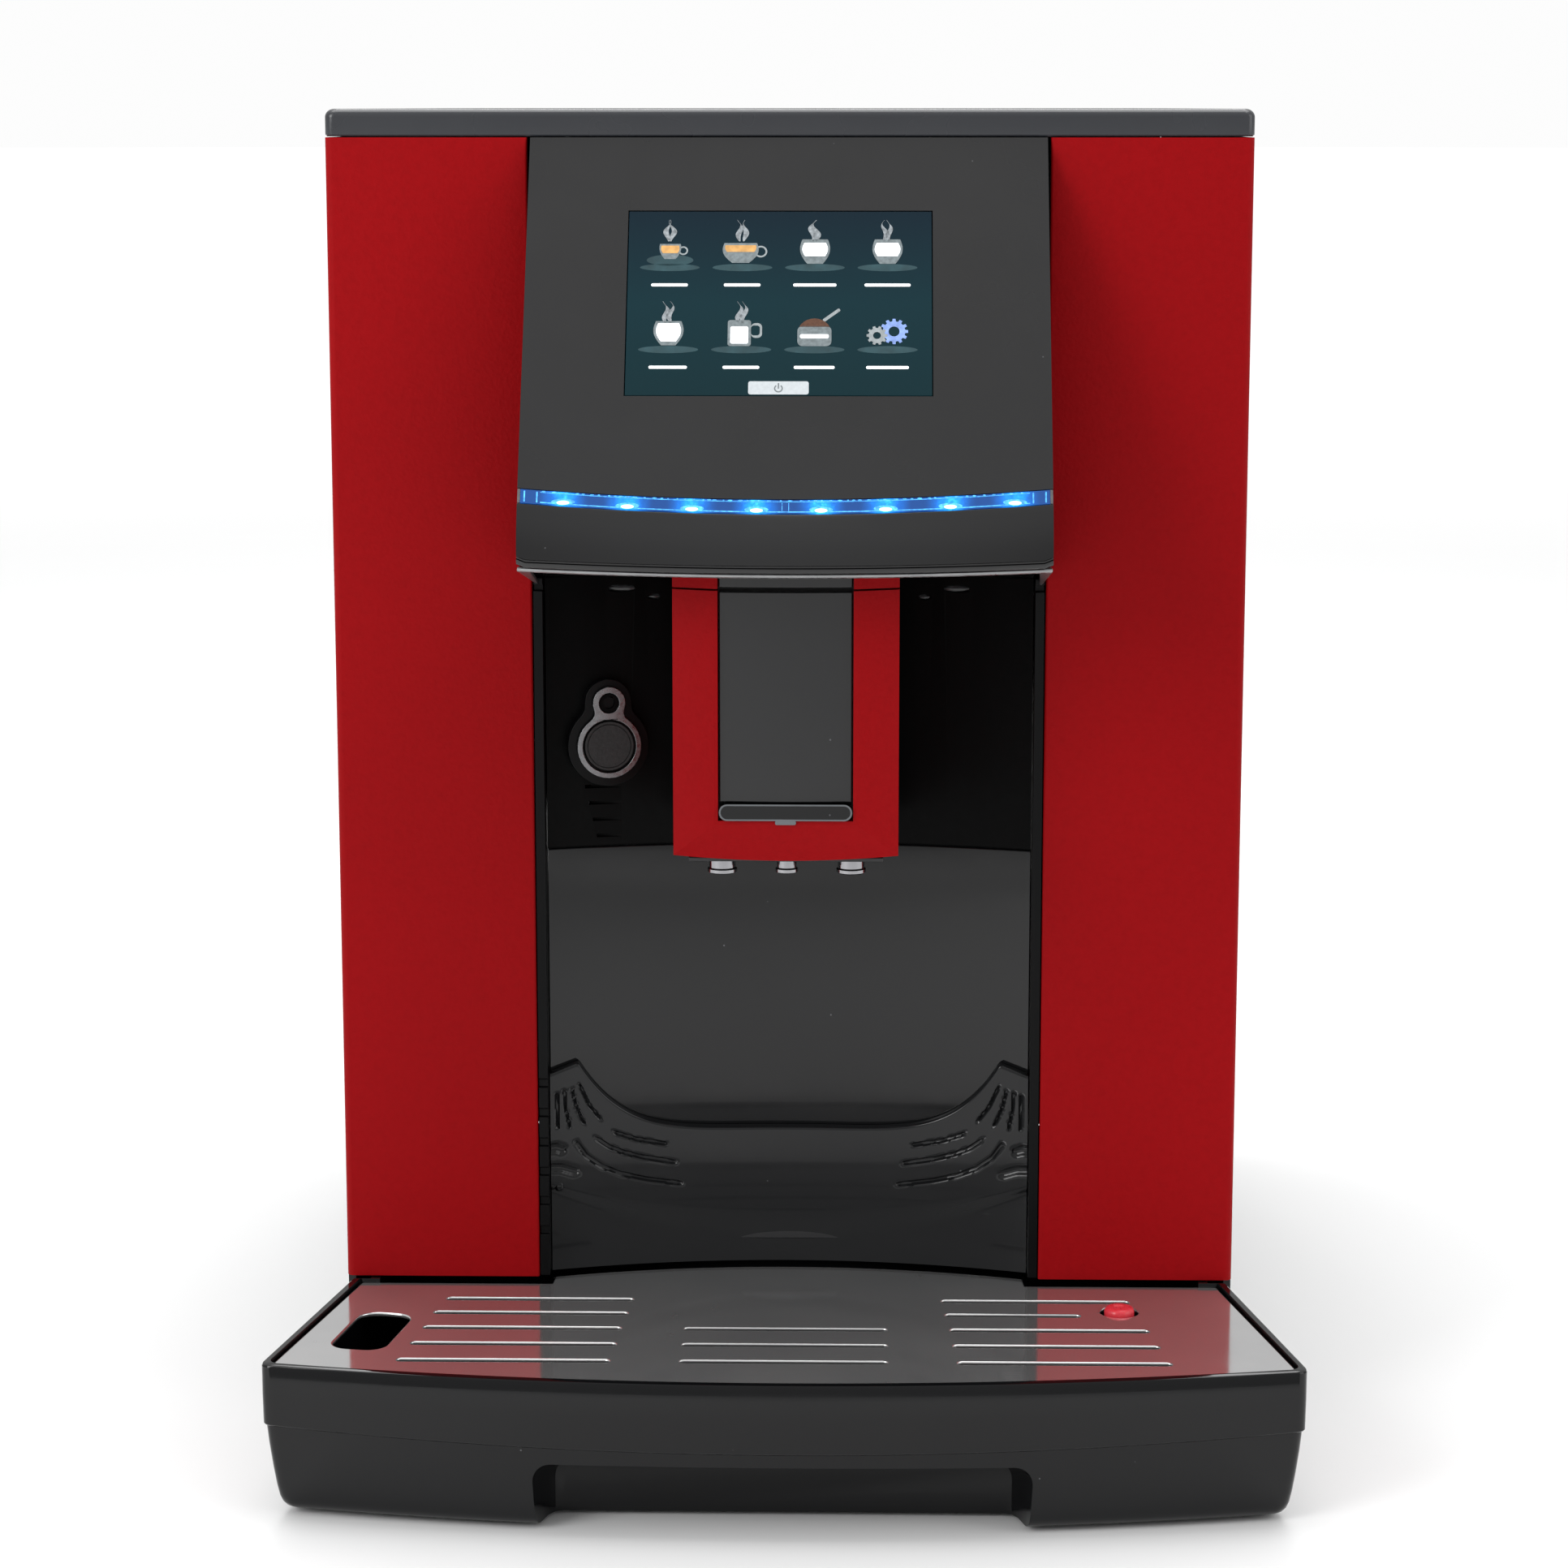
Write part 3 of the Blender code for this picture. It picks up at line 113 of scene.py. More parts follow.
LED_COUNT = 8
LED_PITCH = 19.4
LED_OFFSET = 1.2


def bay_wall_y(x):
    """The concave wall behind the cup, in plan."""
    return BAY_CENTRE_Y - BAY_CURVE * x * x


def on_fascia(down, out=0.0):
    """(y, z) of a place that far down the sloping fascia, and out from its face."""
    return (
        FRONT - down * math.sin(SLOPE) - out * math.cos(SLOPE),
        LID_LINE - GAP - down * math.cos(SLOPE) + out * math.sin(SLOPE),
    )


def fascia_end(x, extra=0.0):
    """How far down the slope the fascia panel reaches at this x."""
    return FASCIA_LENGTH + FASCIA_DROOP * (1 - (x / FASCIA_HALF) ** 2) + extra


def spread(low, high, count):
    return [low + (high - low) * i / (count - 1) for i in range(count)]


def smoothstep(low, high, value):
    t = min(max((value - low) / (high - low), 0.0), 1.0)
    return t * t * (3 - 2 * t)


# ---------------------------------------------------------------- materials
class Nodes:
    """A short way to write a material's node tree."""

    def __init__(self, name, **constants):
        self.material = bpy.data.materials.new(name)
        self.material.use_nodes = True
        self.tree = self.material.node_tree
        self.shader = self.tree.nodes["Principled BSDF"]
        for socket, value in constants.items():
            self.shader.inputs[socket.replace("_", " ")].default_value = value

    def node(self, kind, settings=None, **inputs):
        """Adds a node. An input is given by its name, or by its number as i0, i1 and so on."""
        made = self.tree.nodes.new(kind)
        for key, value in (settings or {}).items():
            setattr(made, key, value)
        for socket, value in inputs.items():
            numbered = socket[0] == "i" and socket[1:].isdigit()
            target = made.inputs[int(socket[1:]) if numbered else socket.replace("_", " ")]
            if isinstance(value, bpy.types.NodeSocket):
                self.tree.links.new(value, target)
            else:
                target.default_value = value
        return made

    def link(self, output, *sockets):
        for socket in sockets:
            self.tree.links.new(output, self.shader.inputs[socket])

    def place(self):
        """The point in the object's own space, which is the machine's frame in metres."""
        return self.node("ShaderNodeTexCoord").outputs["Object"]

    def noise(self, scale, detail=2.0, roughness=0.5, vector=None):
        return self.node("ShaderNodeTexNoise", None, Vector=vector or self.place(), Scale=scale, Detail=detail,
                         Roughness=roughness).outputs["Fac"]

    def ramp(self, value, stops):
        made = self.node("ShaderNodeValToRGB", None, Fac=value)
        ramp = made.color_ramp
        while len(ramp.elements) < len(stops):
            ramp.elements.new(0.5)
        for element, (place, colour) in zip(ramp.elements, stops):
            element.position = place
            element.color = (*colour, 1.0)
        return made.outputs["Color"]

    def range(self, value, low, high, to_low, to_high):
        return self.node("ShaderNodeMapRange", None, Value=value, From_Min=low, From_Max=high, To_Min=to_low,
                         To_Max=to_high).outputs["Result"]

    def math(self, operation, a, b=0.0):
        return self.node("ShaderNodeMath", {"operation": operation}, i0=a, i1=b).outputs[0]

    def mix(self, factor, a, b):
        made = self.tree.nodes.new("ShaderNodeMix")
        made.data_type = "RGBA"
        for index, value in ((0, factor), (6, a), (7, b)):
            if isinstance(value, bpy.types.NodeSocket):
                self.tree.links.new(value, made.inputs[index])
            else:
                made.inputs[index].default_value = value if index == 0 else (*value, 1.0)
        return made.outputs[2]

    def fade(self, noise, a, b):
        """From one colour to the other over the part of its range that a noise uses."""
        return self.mix(self.range(noise, 0.3, 0.7, 0.0, 1.0), a, b)

    def bump(self, height, strength, distance, normal=None):
        inputs = {"Height": height, "Strength": strength, "Distance": distance}
        if normal:
            inputs["Normal"] = normal
        return self.node("ShaderNodeBump", None, **inputs).outputs["Normal"]

    def specks(self, scale, size, share):
        """Sparse small spots: 1 in a speck, 0 elsewhere. share is the share of cells that have one."""
        cells = self.node("ShaderNodeTexVoronoi", None, Vector=self.place(), Scale=scale)
        near = self.range(cells.outputs["Distance"], size * 0.5, size, 1.0, 0.0)
        picked = self.node("ShaderNodeSeparateColor", None, Color=cells.outputs["Color"])
        chosen = self.math("GREATER_THAN", picked.outputs[0], 1.0 - share)
        return self.math("MULTIPLY", near, chosen)


def moulded(name, colour, shade, roughness, spread_by, grain_scale, grain, **constants):
    """Moulded plastic: slow colour drift, a fine grain and an uneven gloss."""
    m = Nodes(name, **constants)
    m.link(m.fade(m.noise(9.0, 3.0), colour, shade), "Base Color")
    fine = m.noise(grain_scale, 3.0, 0.6)
    m.link(m.range(fine, 0.3, 0.7, roughness - spread_by, roughness + spread_by), "Roughness")
    m.link(m.bump(fine, grain, 0.0004), "Normal")
    return m.material


def red_panel_material():
    """Deep red plastic with a fine leather-like grain under a satin sheen."""
    m = Nodes("red_panel", Specular_IOR_Level=0.07)
    drift = m.noise(5.0, 2.0)
    fleck = m.noise(420.0, 2.0)
    base = m.mix(m.range(drift, 0.35, 0.65, 0.0, 1.0), (0.265, 0.0018, 0.0036), (0.305, 0.0022, 0.0042))
    m.link(m.mix(m.range(fleck, 0.4, 0.75, 0.0, 0.22), base, (0.20, 0.0012, 0.0025)), "Base Color")
    grain = m.noise(950.0, 4.0, 0.6)
    pores = m.node("ShaderNodeTexVoronoi", None, Vector=m.place(), Scale=620.0).outputs["Distance"]
    m.link(m.range(grain, 0.3, 0.7, 0.44, 0.56), "Roughness")
    rough = m.bump(grain, 0.22, 0.0004)
    m.link(m.bump(pores, 0.12, 0.0004, rough), "Normal")
    return m.material


def gloss_black_material(name="gloss_black", colour=(0.0035, 0.0037, 0.0042), roughness=0.06, dust=0.25, coat=0.15,
                         **more):
    """Polished black moulding with faint smears, a slight orange peel and specks of dust."""
    m = Nodes(name, Coat_Weight=coat, Coat_Roughness=0.04, **more)
    specks = m.math("MULTIPLY", m.specks(140.0, 0.05, 0.10), dust)
    m.link(m.mix(specks, colour, (0.35, 0.36, 0.38)), "Base Color")
    smear = m.noise(14.0, 4.0, 0.65)
    base = m.range(smear, 0.35, 0.75, roughness, roughness + 0.11)
    m.link(m.math("ADD", base, m.math("MULTIPLY", specks, 0.5)), "Roughness")
    peel = m.noise(60.0, 2.0)
    m.link(m.bump(peel, 0.03, 0.001), "Normal")
    return m.material


def steel_material():
    """Polished stainless sheet: nearly a mirror, with drips dried on it and fine scratches."""
    m = Nodes("polished_steel", Metallic=0.86)
    spots = m.specks(90.0, 0.10, 0.3)
    base = m.fade(m.noise(30.0, 3.0), (0.66, 0.665, 0.67), (0.74, 0.74, 0.74))
    m.link(m.mix(m.math("MULTIPLY", spots, 0.5), base, (0.30, 0.30, 0.31)), "Base Color")
    haze = m.noise(22.0, 5.0, 0.7)
    m.link(m.math("ADD", m.range(haze, 0.3, 0.75, 0.05, 0.14), m.math("MULTIPLY", spots, 0.3)), "Roughness")
    mapping = m.node("ShaderNodeMapping", None, Vector=m.place(), Scale=(40.0, 1400.0, 1400.0))
    stretch = mapping.outputs["Vector"]
    scratch = m.noise(1.0, 3.0, 0.6, stretch)
    m.link(m.bump(scratch, 0.02, 0.0005), "Normal")
    return m.material


def darker(colour, share):
    return tuple(share * c for c in colour)


def metal(name, colour, roughness, grain_scale, grain):
    """Plain metal with an uneven tone and a fine grain."""
    m = Nodes(name, Metallic=1.0)
    m.link(m.fade(m.noise(grain_scale * 0.2, 3.0), colour, darker(colour, 0.82)), "Base Color")
    fine = m.noise(grain_scale, 4.0, 0.6)
    m.link(m.range(fine, 0.3, 0.7, roughness * 0.7, roughness * 1.4), "Roughness")
    m.link(m.bump(fine, grain, 0.0004), "Normal")
    return m.material


def clear_plastic(name, colour, roughness, transmission):
    """Tinted see-through plastic with faint flow marks."""
    m = Nodes(name, Transmission_Weight=transmission, IOR=1.49)
    flow = m.noise(18.0, 3.0)
    m.link(m.fade(flow, colour, darker(colour, 0.7)), "Base Color")
    m.link(m.range(flow, 0.3, 0.7, roughness, roughness + 0.05), "Roughness")
    m.link(m.bump(m.noise(70.0, 2.0), 0.02, 0.0008), "Normal")
    return m.material


def lit(name, colour, strength, variation, scale):
    """A printed or lit patch of the display or the light bar."""
    m = Nodes(name, Roughness=0.3, Emission_Strength=strength)
    m.link(m.fade(m.noise(scale, 2.0), colour, darker(colour, 1 - variation)), "Base Color", "Emission Color")
    return m.material


def display_material():
    """The dark teal page of the display, a little lighter towards its middle, over a fine pixel grid."""
    m = Nodes("display_page", Roughness=0.16, Emission_Strength=0.5, Specular_IOR_Level=0.2)
    place = m.node("ShaderNodeSeparateXYZ", None, Vector=m.place())
    rise = m.range(place.outputs["Z"], 0.342, 0.397, 0.0, 1.0)
    page = m.ramp(rise, [(0.0, (0.002, 0.017, 0.022)), (0.5, (0.0026, 0.020, 0.027)),
                         (1.0, (0.0026, 0.011, 0.019))])
    wave = m.node("ShaderNodeTexWave", {"wave_profile": "SIN"}, Vector=m.place(), Scale=1100.0).outputs["Fac"]
    page = m.mix(m.range(wave, 0.0, 1.0, 0.0, 0.12), page, (0.0, 0.0, 0.0))
    m.link(page, "Base Color", "Emission Color")
    return m.material


def light_bar_material():
    """Clear bar lit blue from behind by a row of lamps."""
    m = Nodes("light_bar", Roughness=0.12, Emission_Strength=1.0, Coat_Weight=0.3)
    place = m.node("ShaderNodeSeparateXYZ", None, Vector=m.place())
    along = m.math("DIVIDE", place.outputs["X"], LED_PITCH * MM)
    within = m.math("FRACT", m.math("SUBTRACT", along, LED_OFFSET / LED_PITCH))
    cell = m.math("ABSOLUTE", m.math("SUBTRACT", within, 0.5))
    glow = m.node("ShaderNodeMapRange", {"interpolation_type": "SMOOTHSTEP"}, Value=cell, From_Min=0.0,
                  From_Max=0.42, To_Min=1.0, To_Max=0.0).outputs["Result"]
    uneven = m.noise(260.0, 3.0, 0.7)
    level = m.math("MULTIPLY", glow, m.range(uneven, 0.3, 0.7, 0.55, 1.1))
    colour = m.ramp(level, [(0.0, (0.0, 0.035, 0.16)), (0.4, (0.0, 0.09, 0.38)), (0.8, (0.003, 0.22, 0.75)),
                            (1.0, (0.03, 0.42, 1.0))])
    m.link(colour, "Base Color", "Emission Color")
    return m.material


def board_material():
    """Green circuit board with a net of tracks."""
    m = Nodes("circuit_board", Roughness=0.45)
    mesh = m.node("ShaderNodeTexBrick", None, Vector=m.place(), Scale=90.0).outputs["Fac"]
    m.link(m.mix(mesh, (0.008, 0.10, 0.03), (0.03, 0.2, 0.07)), "Base Color")
    m.link(m.bump(mesh, 0.3, 0.0003), "Normal")
    return m.material


RED = red_panel_material()
TOP_GLOSS = gloss_black_material("top_gloss", (0.026, 0.028, 0.033), 0.22, 0.35)
GLOSS = gloss_black_material(Specular_IOR_Level=0.25)
DEEP_GLOSS = gloss_black_material("deep_gloss", (0.0015, 0.0015, 0.0017), 0.30, 0.2, 0.0,
                                  Specular_IOR_Level=0.12)
CHIN_GLOSS = gloss_black_material("chin_gloss", (0.005, 0.005, 0.0055), 0.06, 0.3)
WALL_GLOSS = gloss_black_material("bay_gloss", (0.004, 0.0042, 0.0047), 0.09, 0.3, Specular_IOR_Level=0.33)
SATIN = moulded("satin_black", (0.010, 0.010, 0.011), (0.014, 0.014, 0.015), 0.42, 0.06, 500.0, 0.10)
# Near black with almost no gloss: black plastic darkened further as painted shade, for the shadow that the
# fascia's overhang casts into the bay.
SHADED_BAY_BLACK = moulded("bay_black_painted_shade", (0.0012, 0.0012, 0.0013), (0.002, 0.002, 0.002), 0.4, 0.05, 380.0, 0.06,
                    Specular_IOR_Level=0.05)
CASE_BLACK = moulded("case_black", (0.011, 0.011, 0.012), (0.015, 0.015, 0.016), 0.48, 0.07, 620.0, 0.25)
FASCIA = gloss_black_material("fascia_grey", (0.013, 0.013, 0.0135), 0.24, 0.4, Specular_IOR_Level=0.42)
RUBBER = moulded("rubber", (0.009, 0.009, 0.010), (0.015, 0.015, 0.015), 0.75, 0.1, 900.0, 0.3)
STEEL = steel_material()
CHROME = metal("chrome", (0.34, 0.34, 0.355), 0.12, 300.0, 0.01)
DARK_CHROME = metal("dark_chrome", (0.16, 0.17, 0.18), 0.16, 300.0, 0.02)
SILVER = metal("silver_trim", (0.34, 0.345, 0.35), 0.36, 700.0, 0.03)
RING_METAL = metal("ring_grey", (0.22, 0.223, 0.23), 0.28, 700.0, 0.04)
ALUMINIUM = metal("cast_aluminium", (0.56, 0.57, 0.58), 0.42, 900.0, 0.25)
BURR_STEEL = metal("burr_steel", (0.40, 0.40, 0.42), 0.3, 500.0, 0.1)
FLOAT_RED = moulded("float_red", (0.78, 0.05, 0.07), (0.68, 0.03, 0.05), 0.28, 0.05, 400.0, 0.05,
                    Subsurface_Weight=0.25, Subsurface_Scale=0.004)
GREY = moulded("grey_plastic", (0.15, 0.155, 0.16), (0.19, 0.19, 0.195), 0.45, 0.08, 500.0, 0.15)
HOSE = moulded("silicone_hose", (0.60, 0.60, 0.56), (0.66, 0.66, 0.64), 0.42, 0.06, 200.0, 0.05,
               Subsurface_Weight=0.2, Subsurface_Scale=0.004)
SMOKED = clear_plastic("smoked_plastic", (0.16, 0.165, 0.175), 0.06, 0.85)
DISPLAY = display_material()
LIGHT = light_bar_material()
LAMP = lit("lamp", (0.30, 0.75, 1.0), 5.0, 0.2, 900.0)
LIGHT_EDGE = lit("light_edge", (0.08, 0.42, 1.0), 1.2, 0.6, 900.0)
BOARD = board_material()


# ---------------------------------------------------------------- outlines in a plane
def arc(cx, cy, radius, start, end, steps):
    """Points on an arc; angles in degrees, both ends included."""
    turns = [math.radians(start + (end - start) * i / steps) for i in range(steps + 1)]
    return [(cx + radius * math.cos(t), cy + radius * math.sin(t)) for t in turns]


def circle(cx, cy, radius, steps=32):
    return arc(cx, cy, radius, 0, 360, steps)[:-1]


def rectangle(x0, y0, x1, y1):
    return [(x0, y0), (x1, y0), (x1, y1), (x0, y1)]


def rounded_rect(x0, y0, x1, y1, radius, steps=6):
    corner = (
        (x1 - radius, y1 - radius, 0),
        (x0 + radius, y1 - radius, 90),
        (x0 + radius, y0 + radius, 180),
        (x1 - radius, y0 + radius, 270),
    )
    return [p for x, y, a in corner for p in arc(x, y, radius, a, a + 90, steps)]


def slot(x0, x1, y, width, steps=6):
    """A straight slot along x with round ends."""
    r = width / 2
    return arc(x1 - r, y, r, -90, 90, steps) + arc(x0 + r, y, r, 90, 270, steps)


def turned_about(points, cx, cy, degrees):
    c, s = math.cos(math.radians(degrees)), math.sin(math.radians(degrees))
    return [(cx + (x - cx) * c - (y - cy) * s, cy + (x - cx) * s + (y - cy) * c) for x, y in points]


def moved(points, dx, dy):
    return [(dx + x, dy + y) for x, y in points]


def at_height(outline, z):
    """A plan outline as a loop of points at one height."""
    return [(x, y, z) for x, y in outline]


def ring(cx, cy, radius, width, steps):
    return [circle(cx, cy, radius, steps), circle(cx, cy, radius - width, steps)]


def ellipse(cx, cy, a, b, steps=28):
    return [(cx + a * x, cy + b * y) for x, y in circle(0, 0, 1, steps)]


def keyhole(big, small, spacing, fillet, steps=14):
    """Two circles, the small one above the big one, joined by a filleted waist."""
    to_big, to_small = big + fillet, small + fillet
    y = (to_big**2 - to_small**2 + spacing**2) / (2 * spacing)
    x = math.sqrt(to_big**2 - y**2)
    low = math.degrees(math.atan2(y, x))
    high = math.degrees(math.atan2(y - spacing, x))
    return (
        arc(0, 0, big, 180 - low, 360 + low, 2 * steps)
        + arc(x, y, fillet, 180 + low, 180 + high, 5)[1:-1]
        + arc(0, spacing, small, high, 180 - high, steps)
        + arc(-x, y, fillet, -high, -low, 5)[1:-1]
    )


# ---------------------------------------------------------------- solids
def add(obj, name, material):
    obj.name = name
    obj.data.name = name
    for owner in list(obj.users_collection):
        owner.objects.unlink(obj)
    bpy.context.scene.collection.objects.link(obj)
    if material:
        obj.data.materials.clear()
        obj.data.materials.append(material)
    return obj


def mesh_object(build, name, material=None):
    """An object whose mesh is filled by build(bm), which works in millimetres."""
    bm = bmesh.new()
    build(bm)
    bmesh.ops.scale(bm, vec=(MM, MM, MM), verts=bm.verts)
    mesh = bpy.data.meshes.new(name)
    bm.to_mesh(mesh)
    bm.free()
    return add(bpy.data.objects.new(name, mesh), name, material)


def box(name, low, high, material=None):
    size = [h - l for l, h in zip(low, high)]
    middle = [(h + l) / 2 for l, h in zip(low, high)]

    def build(bm):
        bmesh.ops.create_cube(bm, size=1.0)
        bmesh.ops.scale(bm, vec=size, verts=bm.verts)
        bmesh.ops.translate(bm, vec=middle, verts=bm.verts)

    return mesh_object(build, name, material)


def cylinder(name, centre, radius, length, material=None, axis="Z", sides=48, top=None):
    """A cylinder or, with a top radius, a cone. Its centre is halfway along its axis."""

    def build(bm):
        bmesh.ops.create_cone(
            bm, cap_ends=True, segments=sides, radius1=radius,
            radius2=radius if top is None else top, depth=length,
        )
        degrees, about = {"X": (90, "Y"), "Y": (-90, "X"), "Z": (0, "Z")}[axis]
        rotation = Matrix.Rotation(math.radians(degrees), 3, about)
        bmesh.ops.rotate(bm, cent=(0, 0, 0), matrix=rotation, verts=bm.verts)
        bmesh.ops.translate(bm, vec=centre, verts=bm.verts)

    return mesh_object(build, name, material)


def as_mesh(obj):
    """The object's evaluated shape as a plain mesh object, in place of a curve or of modifiers."""
    bpy.context.view_layer.update()
    graph = bpy.context.evaluated_depsgraph_get()
    mesh = bpy.data.meshes.new_from_object(obj.evaluated_get(graph))
    bm = bmesh.new()
    bm.from_mesh(mesh)
    bmesh.ops.remove_doubles(bm, verts=bm.verts, dist=MERGE)
    bmesh.ops.recalc_face_normals(bm, faces=bm.faces)
    bm.to_mesh(mesh)
    bm.free()
    made = bpy.data.objects.new(obj.name + "_mesh", mesh)
    made.matrix_world = obj.matrix_world
    bpy.context.scene.collection.objects.link(made)
    bpy.data.objects.remove(obj, do_unlink=True)
    return made


def plate(name, outlines, thickness, material=None, at=(0, 0, 0), turn=(0, 0, 0)):
    """A flat plate from closed outlines in its own XY plane; an outline inside another is a hole.

    It spans half its thickness to each side of that plane. turn is in degrees.
    """
    curve = bpy.data.curves.new(name, "CURVE")
    curve.dimensions = "2D"
    curve.fill_mode = "BOTH"
    curve.extrude = thickness * MM / 2
    for outline in outlines:
        spline = curve.splines.new("POLY")
        spline.points.add(len(outline) - 1)
        for point, (x, y) in zip(spline.points, outline):
            point.co = (x * MM, y * MM, 0, 1)
        spline.use_cyclic_u = True
    obj = bpy.data.objects.new(name + "_curve", curve)
    bpy.context.scene.collection.objects.link(obj)
    obj.location = Vector(at) * MM
    obj.rotation_euler = [math.radians(a) for a in turn]
    made = as_mesh(obj)
    made.data.transform(made.matrix_world)
    made.location, made.rotation_euler = (0, 0, 0), (0, 0, 0)
    return add(made, name, material)


def loft(name, loops, material=None, caps=(True, True)):
    """A skin through loops of equally many points, in millimetres."""

    def build(bm):
        rings = [[bm.verts.new(p) for p in loop] for loop in loops]
        count = len(rings[0])
        for one, two in zip(rings, rings[1:]):
            for i in range(count):
                j = (i + 1) % count
                bm.faces.new((one[i], one[j], two[j], two[i]))
        if caps[0]:
            bm.faces.new(rings[0])
        if caps[1]:
            bm.faces.new(rings[-1])
        bmesh.ops.recalc_face_normals(bm, faces=bm.faces)

    return mesh_object(build, name, material)


def turned_outward(points, outer):
    """The outline anticlockwise if it is the outer one, or clockwise if it is a hole."""
    area = sum(x0 * y1 - x1 * y0 for (x0, y0), (x1, y1) in zip(points, points[1:] + points[:1]))
    return points if (area > 0) == outer else points[::-1]


def moved_in(points, distance):
    """The outline moved into the plate's material, which is on its left."""
    made = []
    for n, (x, y) in enumerate(points):
        (x0, y0), (x1, y1) = points[n - 1], points[(n + 1) % len(points)]
        before, after = math.hypot(x - x0, y - y0), math.hypot(x1 - x, y1 - y)
        ax, ay, bx, by = (y0 - y) / before, (x - x0) / before, (y - y1) / after, (x1 - x) / after
        share = distance / (1 + ax * bx + ay * by)
        made.append((x + (ax + bx) * share, y + (ay + by) * share))
    return made


def rounded_plate(name, outlines, thickness, radius, steps, material, middle_z):
    """A flat plate whose edges are rounded all along each outline; the first outline is the outer one."""
    top, low = middle_z + thickness / 2, middle_z - thickness / 2
    loops = [turned_outward(points, n == 0) for n, points in enumerate(outlines)]
    turns = [math.radians(90 * k / steps) for k in range(steps + 1)]
    levels = [(radius * (1 - math.sin(t)), top - radius * (1 - math.cos(t))) for t in turns]
    levels += [(inset, low + top - z) for inset, z in reversed(levels)]

    def build(bm):
        rims = []
        for points in loops:
            rings = [[bm.verts.new((x, y, z)) for x, y in moved_in(points, inset)] for inset, z in levels]
            for upper, lower in zip(rings, rings[1:]):
                for n in range(len(points)):
                    m = (n + 1) % len(points)
                    bm.faces.new((upper[n], lower[n], lower[m], upper[m])).smooth = True
            rims.append(rings)
        for level, flip in ((0, False), (-1, True)):
            corners_of = [vert for rings in rims for vert in rings[level]]
            flat = [[Vector((v.co.x, v.co.y, 0.0)) for v in rings[level]] for rings in rims]
            for triangle in tessellate_polygon(flat):
                a, b, c = (corners_of[i] for i in triangle)
                turn = (b.co - a.co).cross(c.co - a.co).z
                face = bm.faces.new((a, b, c) if (turn > 0) != flip else (a, c, b))
                for edge in face.edges:
                    edge.smooth = False
        bmesh.ops.recalc_face_normals(bm, faces=bm.faces)

    return mesh_object(build, name, material)


def turned_profile(name, profile, centre, material, steps=48):
    """A profile of (radius, z) points swept once round a vertical axis. It closes unless it ends there."""
    mesh = bpy.data.meshes.new(name)
    bm = bmesh.new()
    points = [bm.verts.new((r * MM, 0, z * MM)) for r, z in profile]
    ends_on_axis = profile[0][0] == 0 and profile[-1][0] == 0
    edges = len(points) - 1 if ends_on_axis else len(points)
    for i in range(edges):
        bm.edges.new((points[i], points[(i + 1) % len(points)]))
    bm.to_mesh(mesh)
    bm.free()
    obj = bpy.data.objects.new(name + "_profile", mesh)
    bpy.context.scene.collection.objects.link(obj)
    sweep = obj.modifiers.new("sweep", "SCREW")
    sweep.steps = sweep.render_steps = steps
    sweep.use_merge_vertices = True
    sweep.merge_threshold = MERGE
    made = as_mesh(obj)
    made.location = (centre[0] * MM, centre[1] * MM, 0)
    return add(made, name, material)


def combine(obj, others, operation):
    """Applies a Boolean with each of the others, and removes them."""
    for other in others:
        step = obj.modifiers.new(operation.lower(), "BOOLEAN")
        step.operation = operation
        step.object = other
        step.solver = "EXACT"
    name, material = obj.name, obj.data.materials[0] if obj.data.materials else None
    made = as_mesh(obj)
    for other in others:
        bpy.data.objects.remove(other, do_unlink=True)
    return add(made, name, material)


def cut(obj, *cutters):
    return combine(obj, cutters, "DIFFERENCE")


def join(obj, *others):
    return combine(obj, others, "UNION")


def finish(obj, bevel=0.0, segments=3, angle=30.0, smooth=35.0):
    """Rounds the edges and shades the piece smoothly, apart from its sharp edges."""
    if bevel:
        made = obj.modifiers.new("rounded_edges", "BEVEL")
        made.width = bevel * MM
        made.segments = segments
        made.limit_method = "ANGLE"
        made.angle_limit = math.radians(angle)
        made.harden_normals = True
    obj.data.shade_smooth()
    obj.data.set_sharp_from_angle(angle=math.radians(smooth))
    return obj


def shown(obj, body, *nodes, slot_name=None):
    """The piece rides on a CAD body, and stands for the CAD nodes given."""
    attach(obj, body)
    if nodes:
        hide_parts(*nodes)
    return obj


def in_fascia_plane(out, thickness):
    """Where a plate sits so that its outer face is that far out from the fascia's face."""
    y, z = on_fascia(0.0, out - thickness / 2)
    return {"at": (0, y, z), "turn": (90 - math.degrees(SLOPE), 0, 0)}


# ---------------------------------------------------------------- casing
def make_casing():
    """The two red front panels, with round outer and inner edges."""
    return_y = PANEL_HIGH.y
    inner = BODY_HALF - WALL
    for name, sign in (("left_front_panel", -1), ("right_front_panel", 1)):
        corner = arc(BODY_HALF - 2.4, FRONT + 2.4, 2.4, -90, 0, 8)
        edge = arc(BAY_HALF + GAP + 0.8, FRONT + 0.8, 0.8, 180, 270, 4)
        section = [*edge, *corner, (BODY_HALF, return_y), (inner, return_y), (inner, FRONT + WALL),
                   (BAY_HALF + GAP, FRONT + WALL)]
        section = [(sign * x, y) for x, y in section]
        middle = (PANEL_LOW.z + PANEL_HIGH.z) / 2
        panel = plate(name + "_moulding", [section], PANEL_HIGH.z - PANEL_LOW.z, RED, at=(0, 0, middle))
        shown(finish(panel, 0.45, 3, 50), "machine", name, slot_name="red_plastic")


HOPPER = (-115.0, -58.0, 15.0, 60.0)
POWDER = (45.0, -58.0, 119.0, -4.0)
TANK = (0.0, 112.0, 132.0, 216.0)
KNOB_CENTRE = (68.0, 32.0)
KNOB_RADIUS = 14.0
LID_HINGE_INSET = 3.2
LID_HINGE_Z = TOP - 2.2
LID_TOP = TOP - 0.3
LID_THICKNESS = 3.4


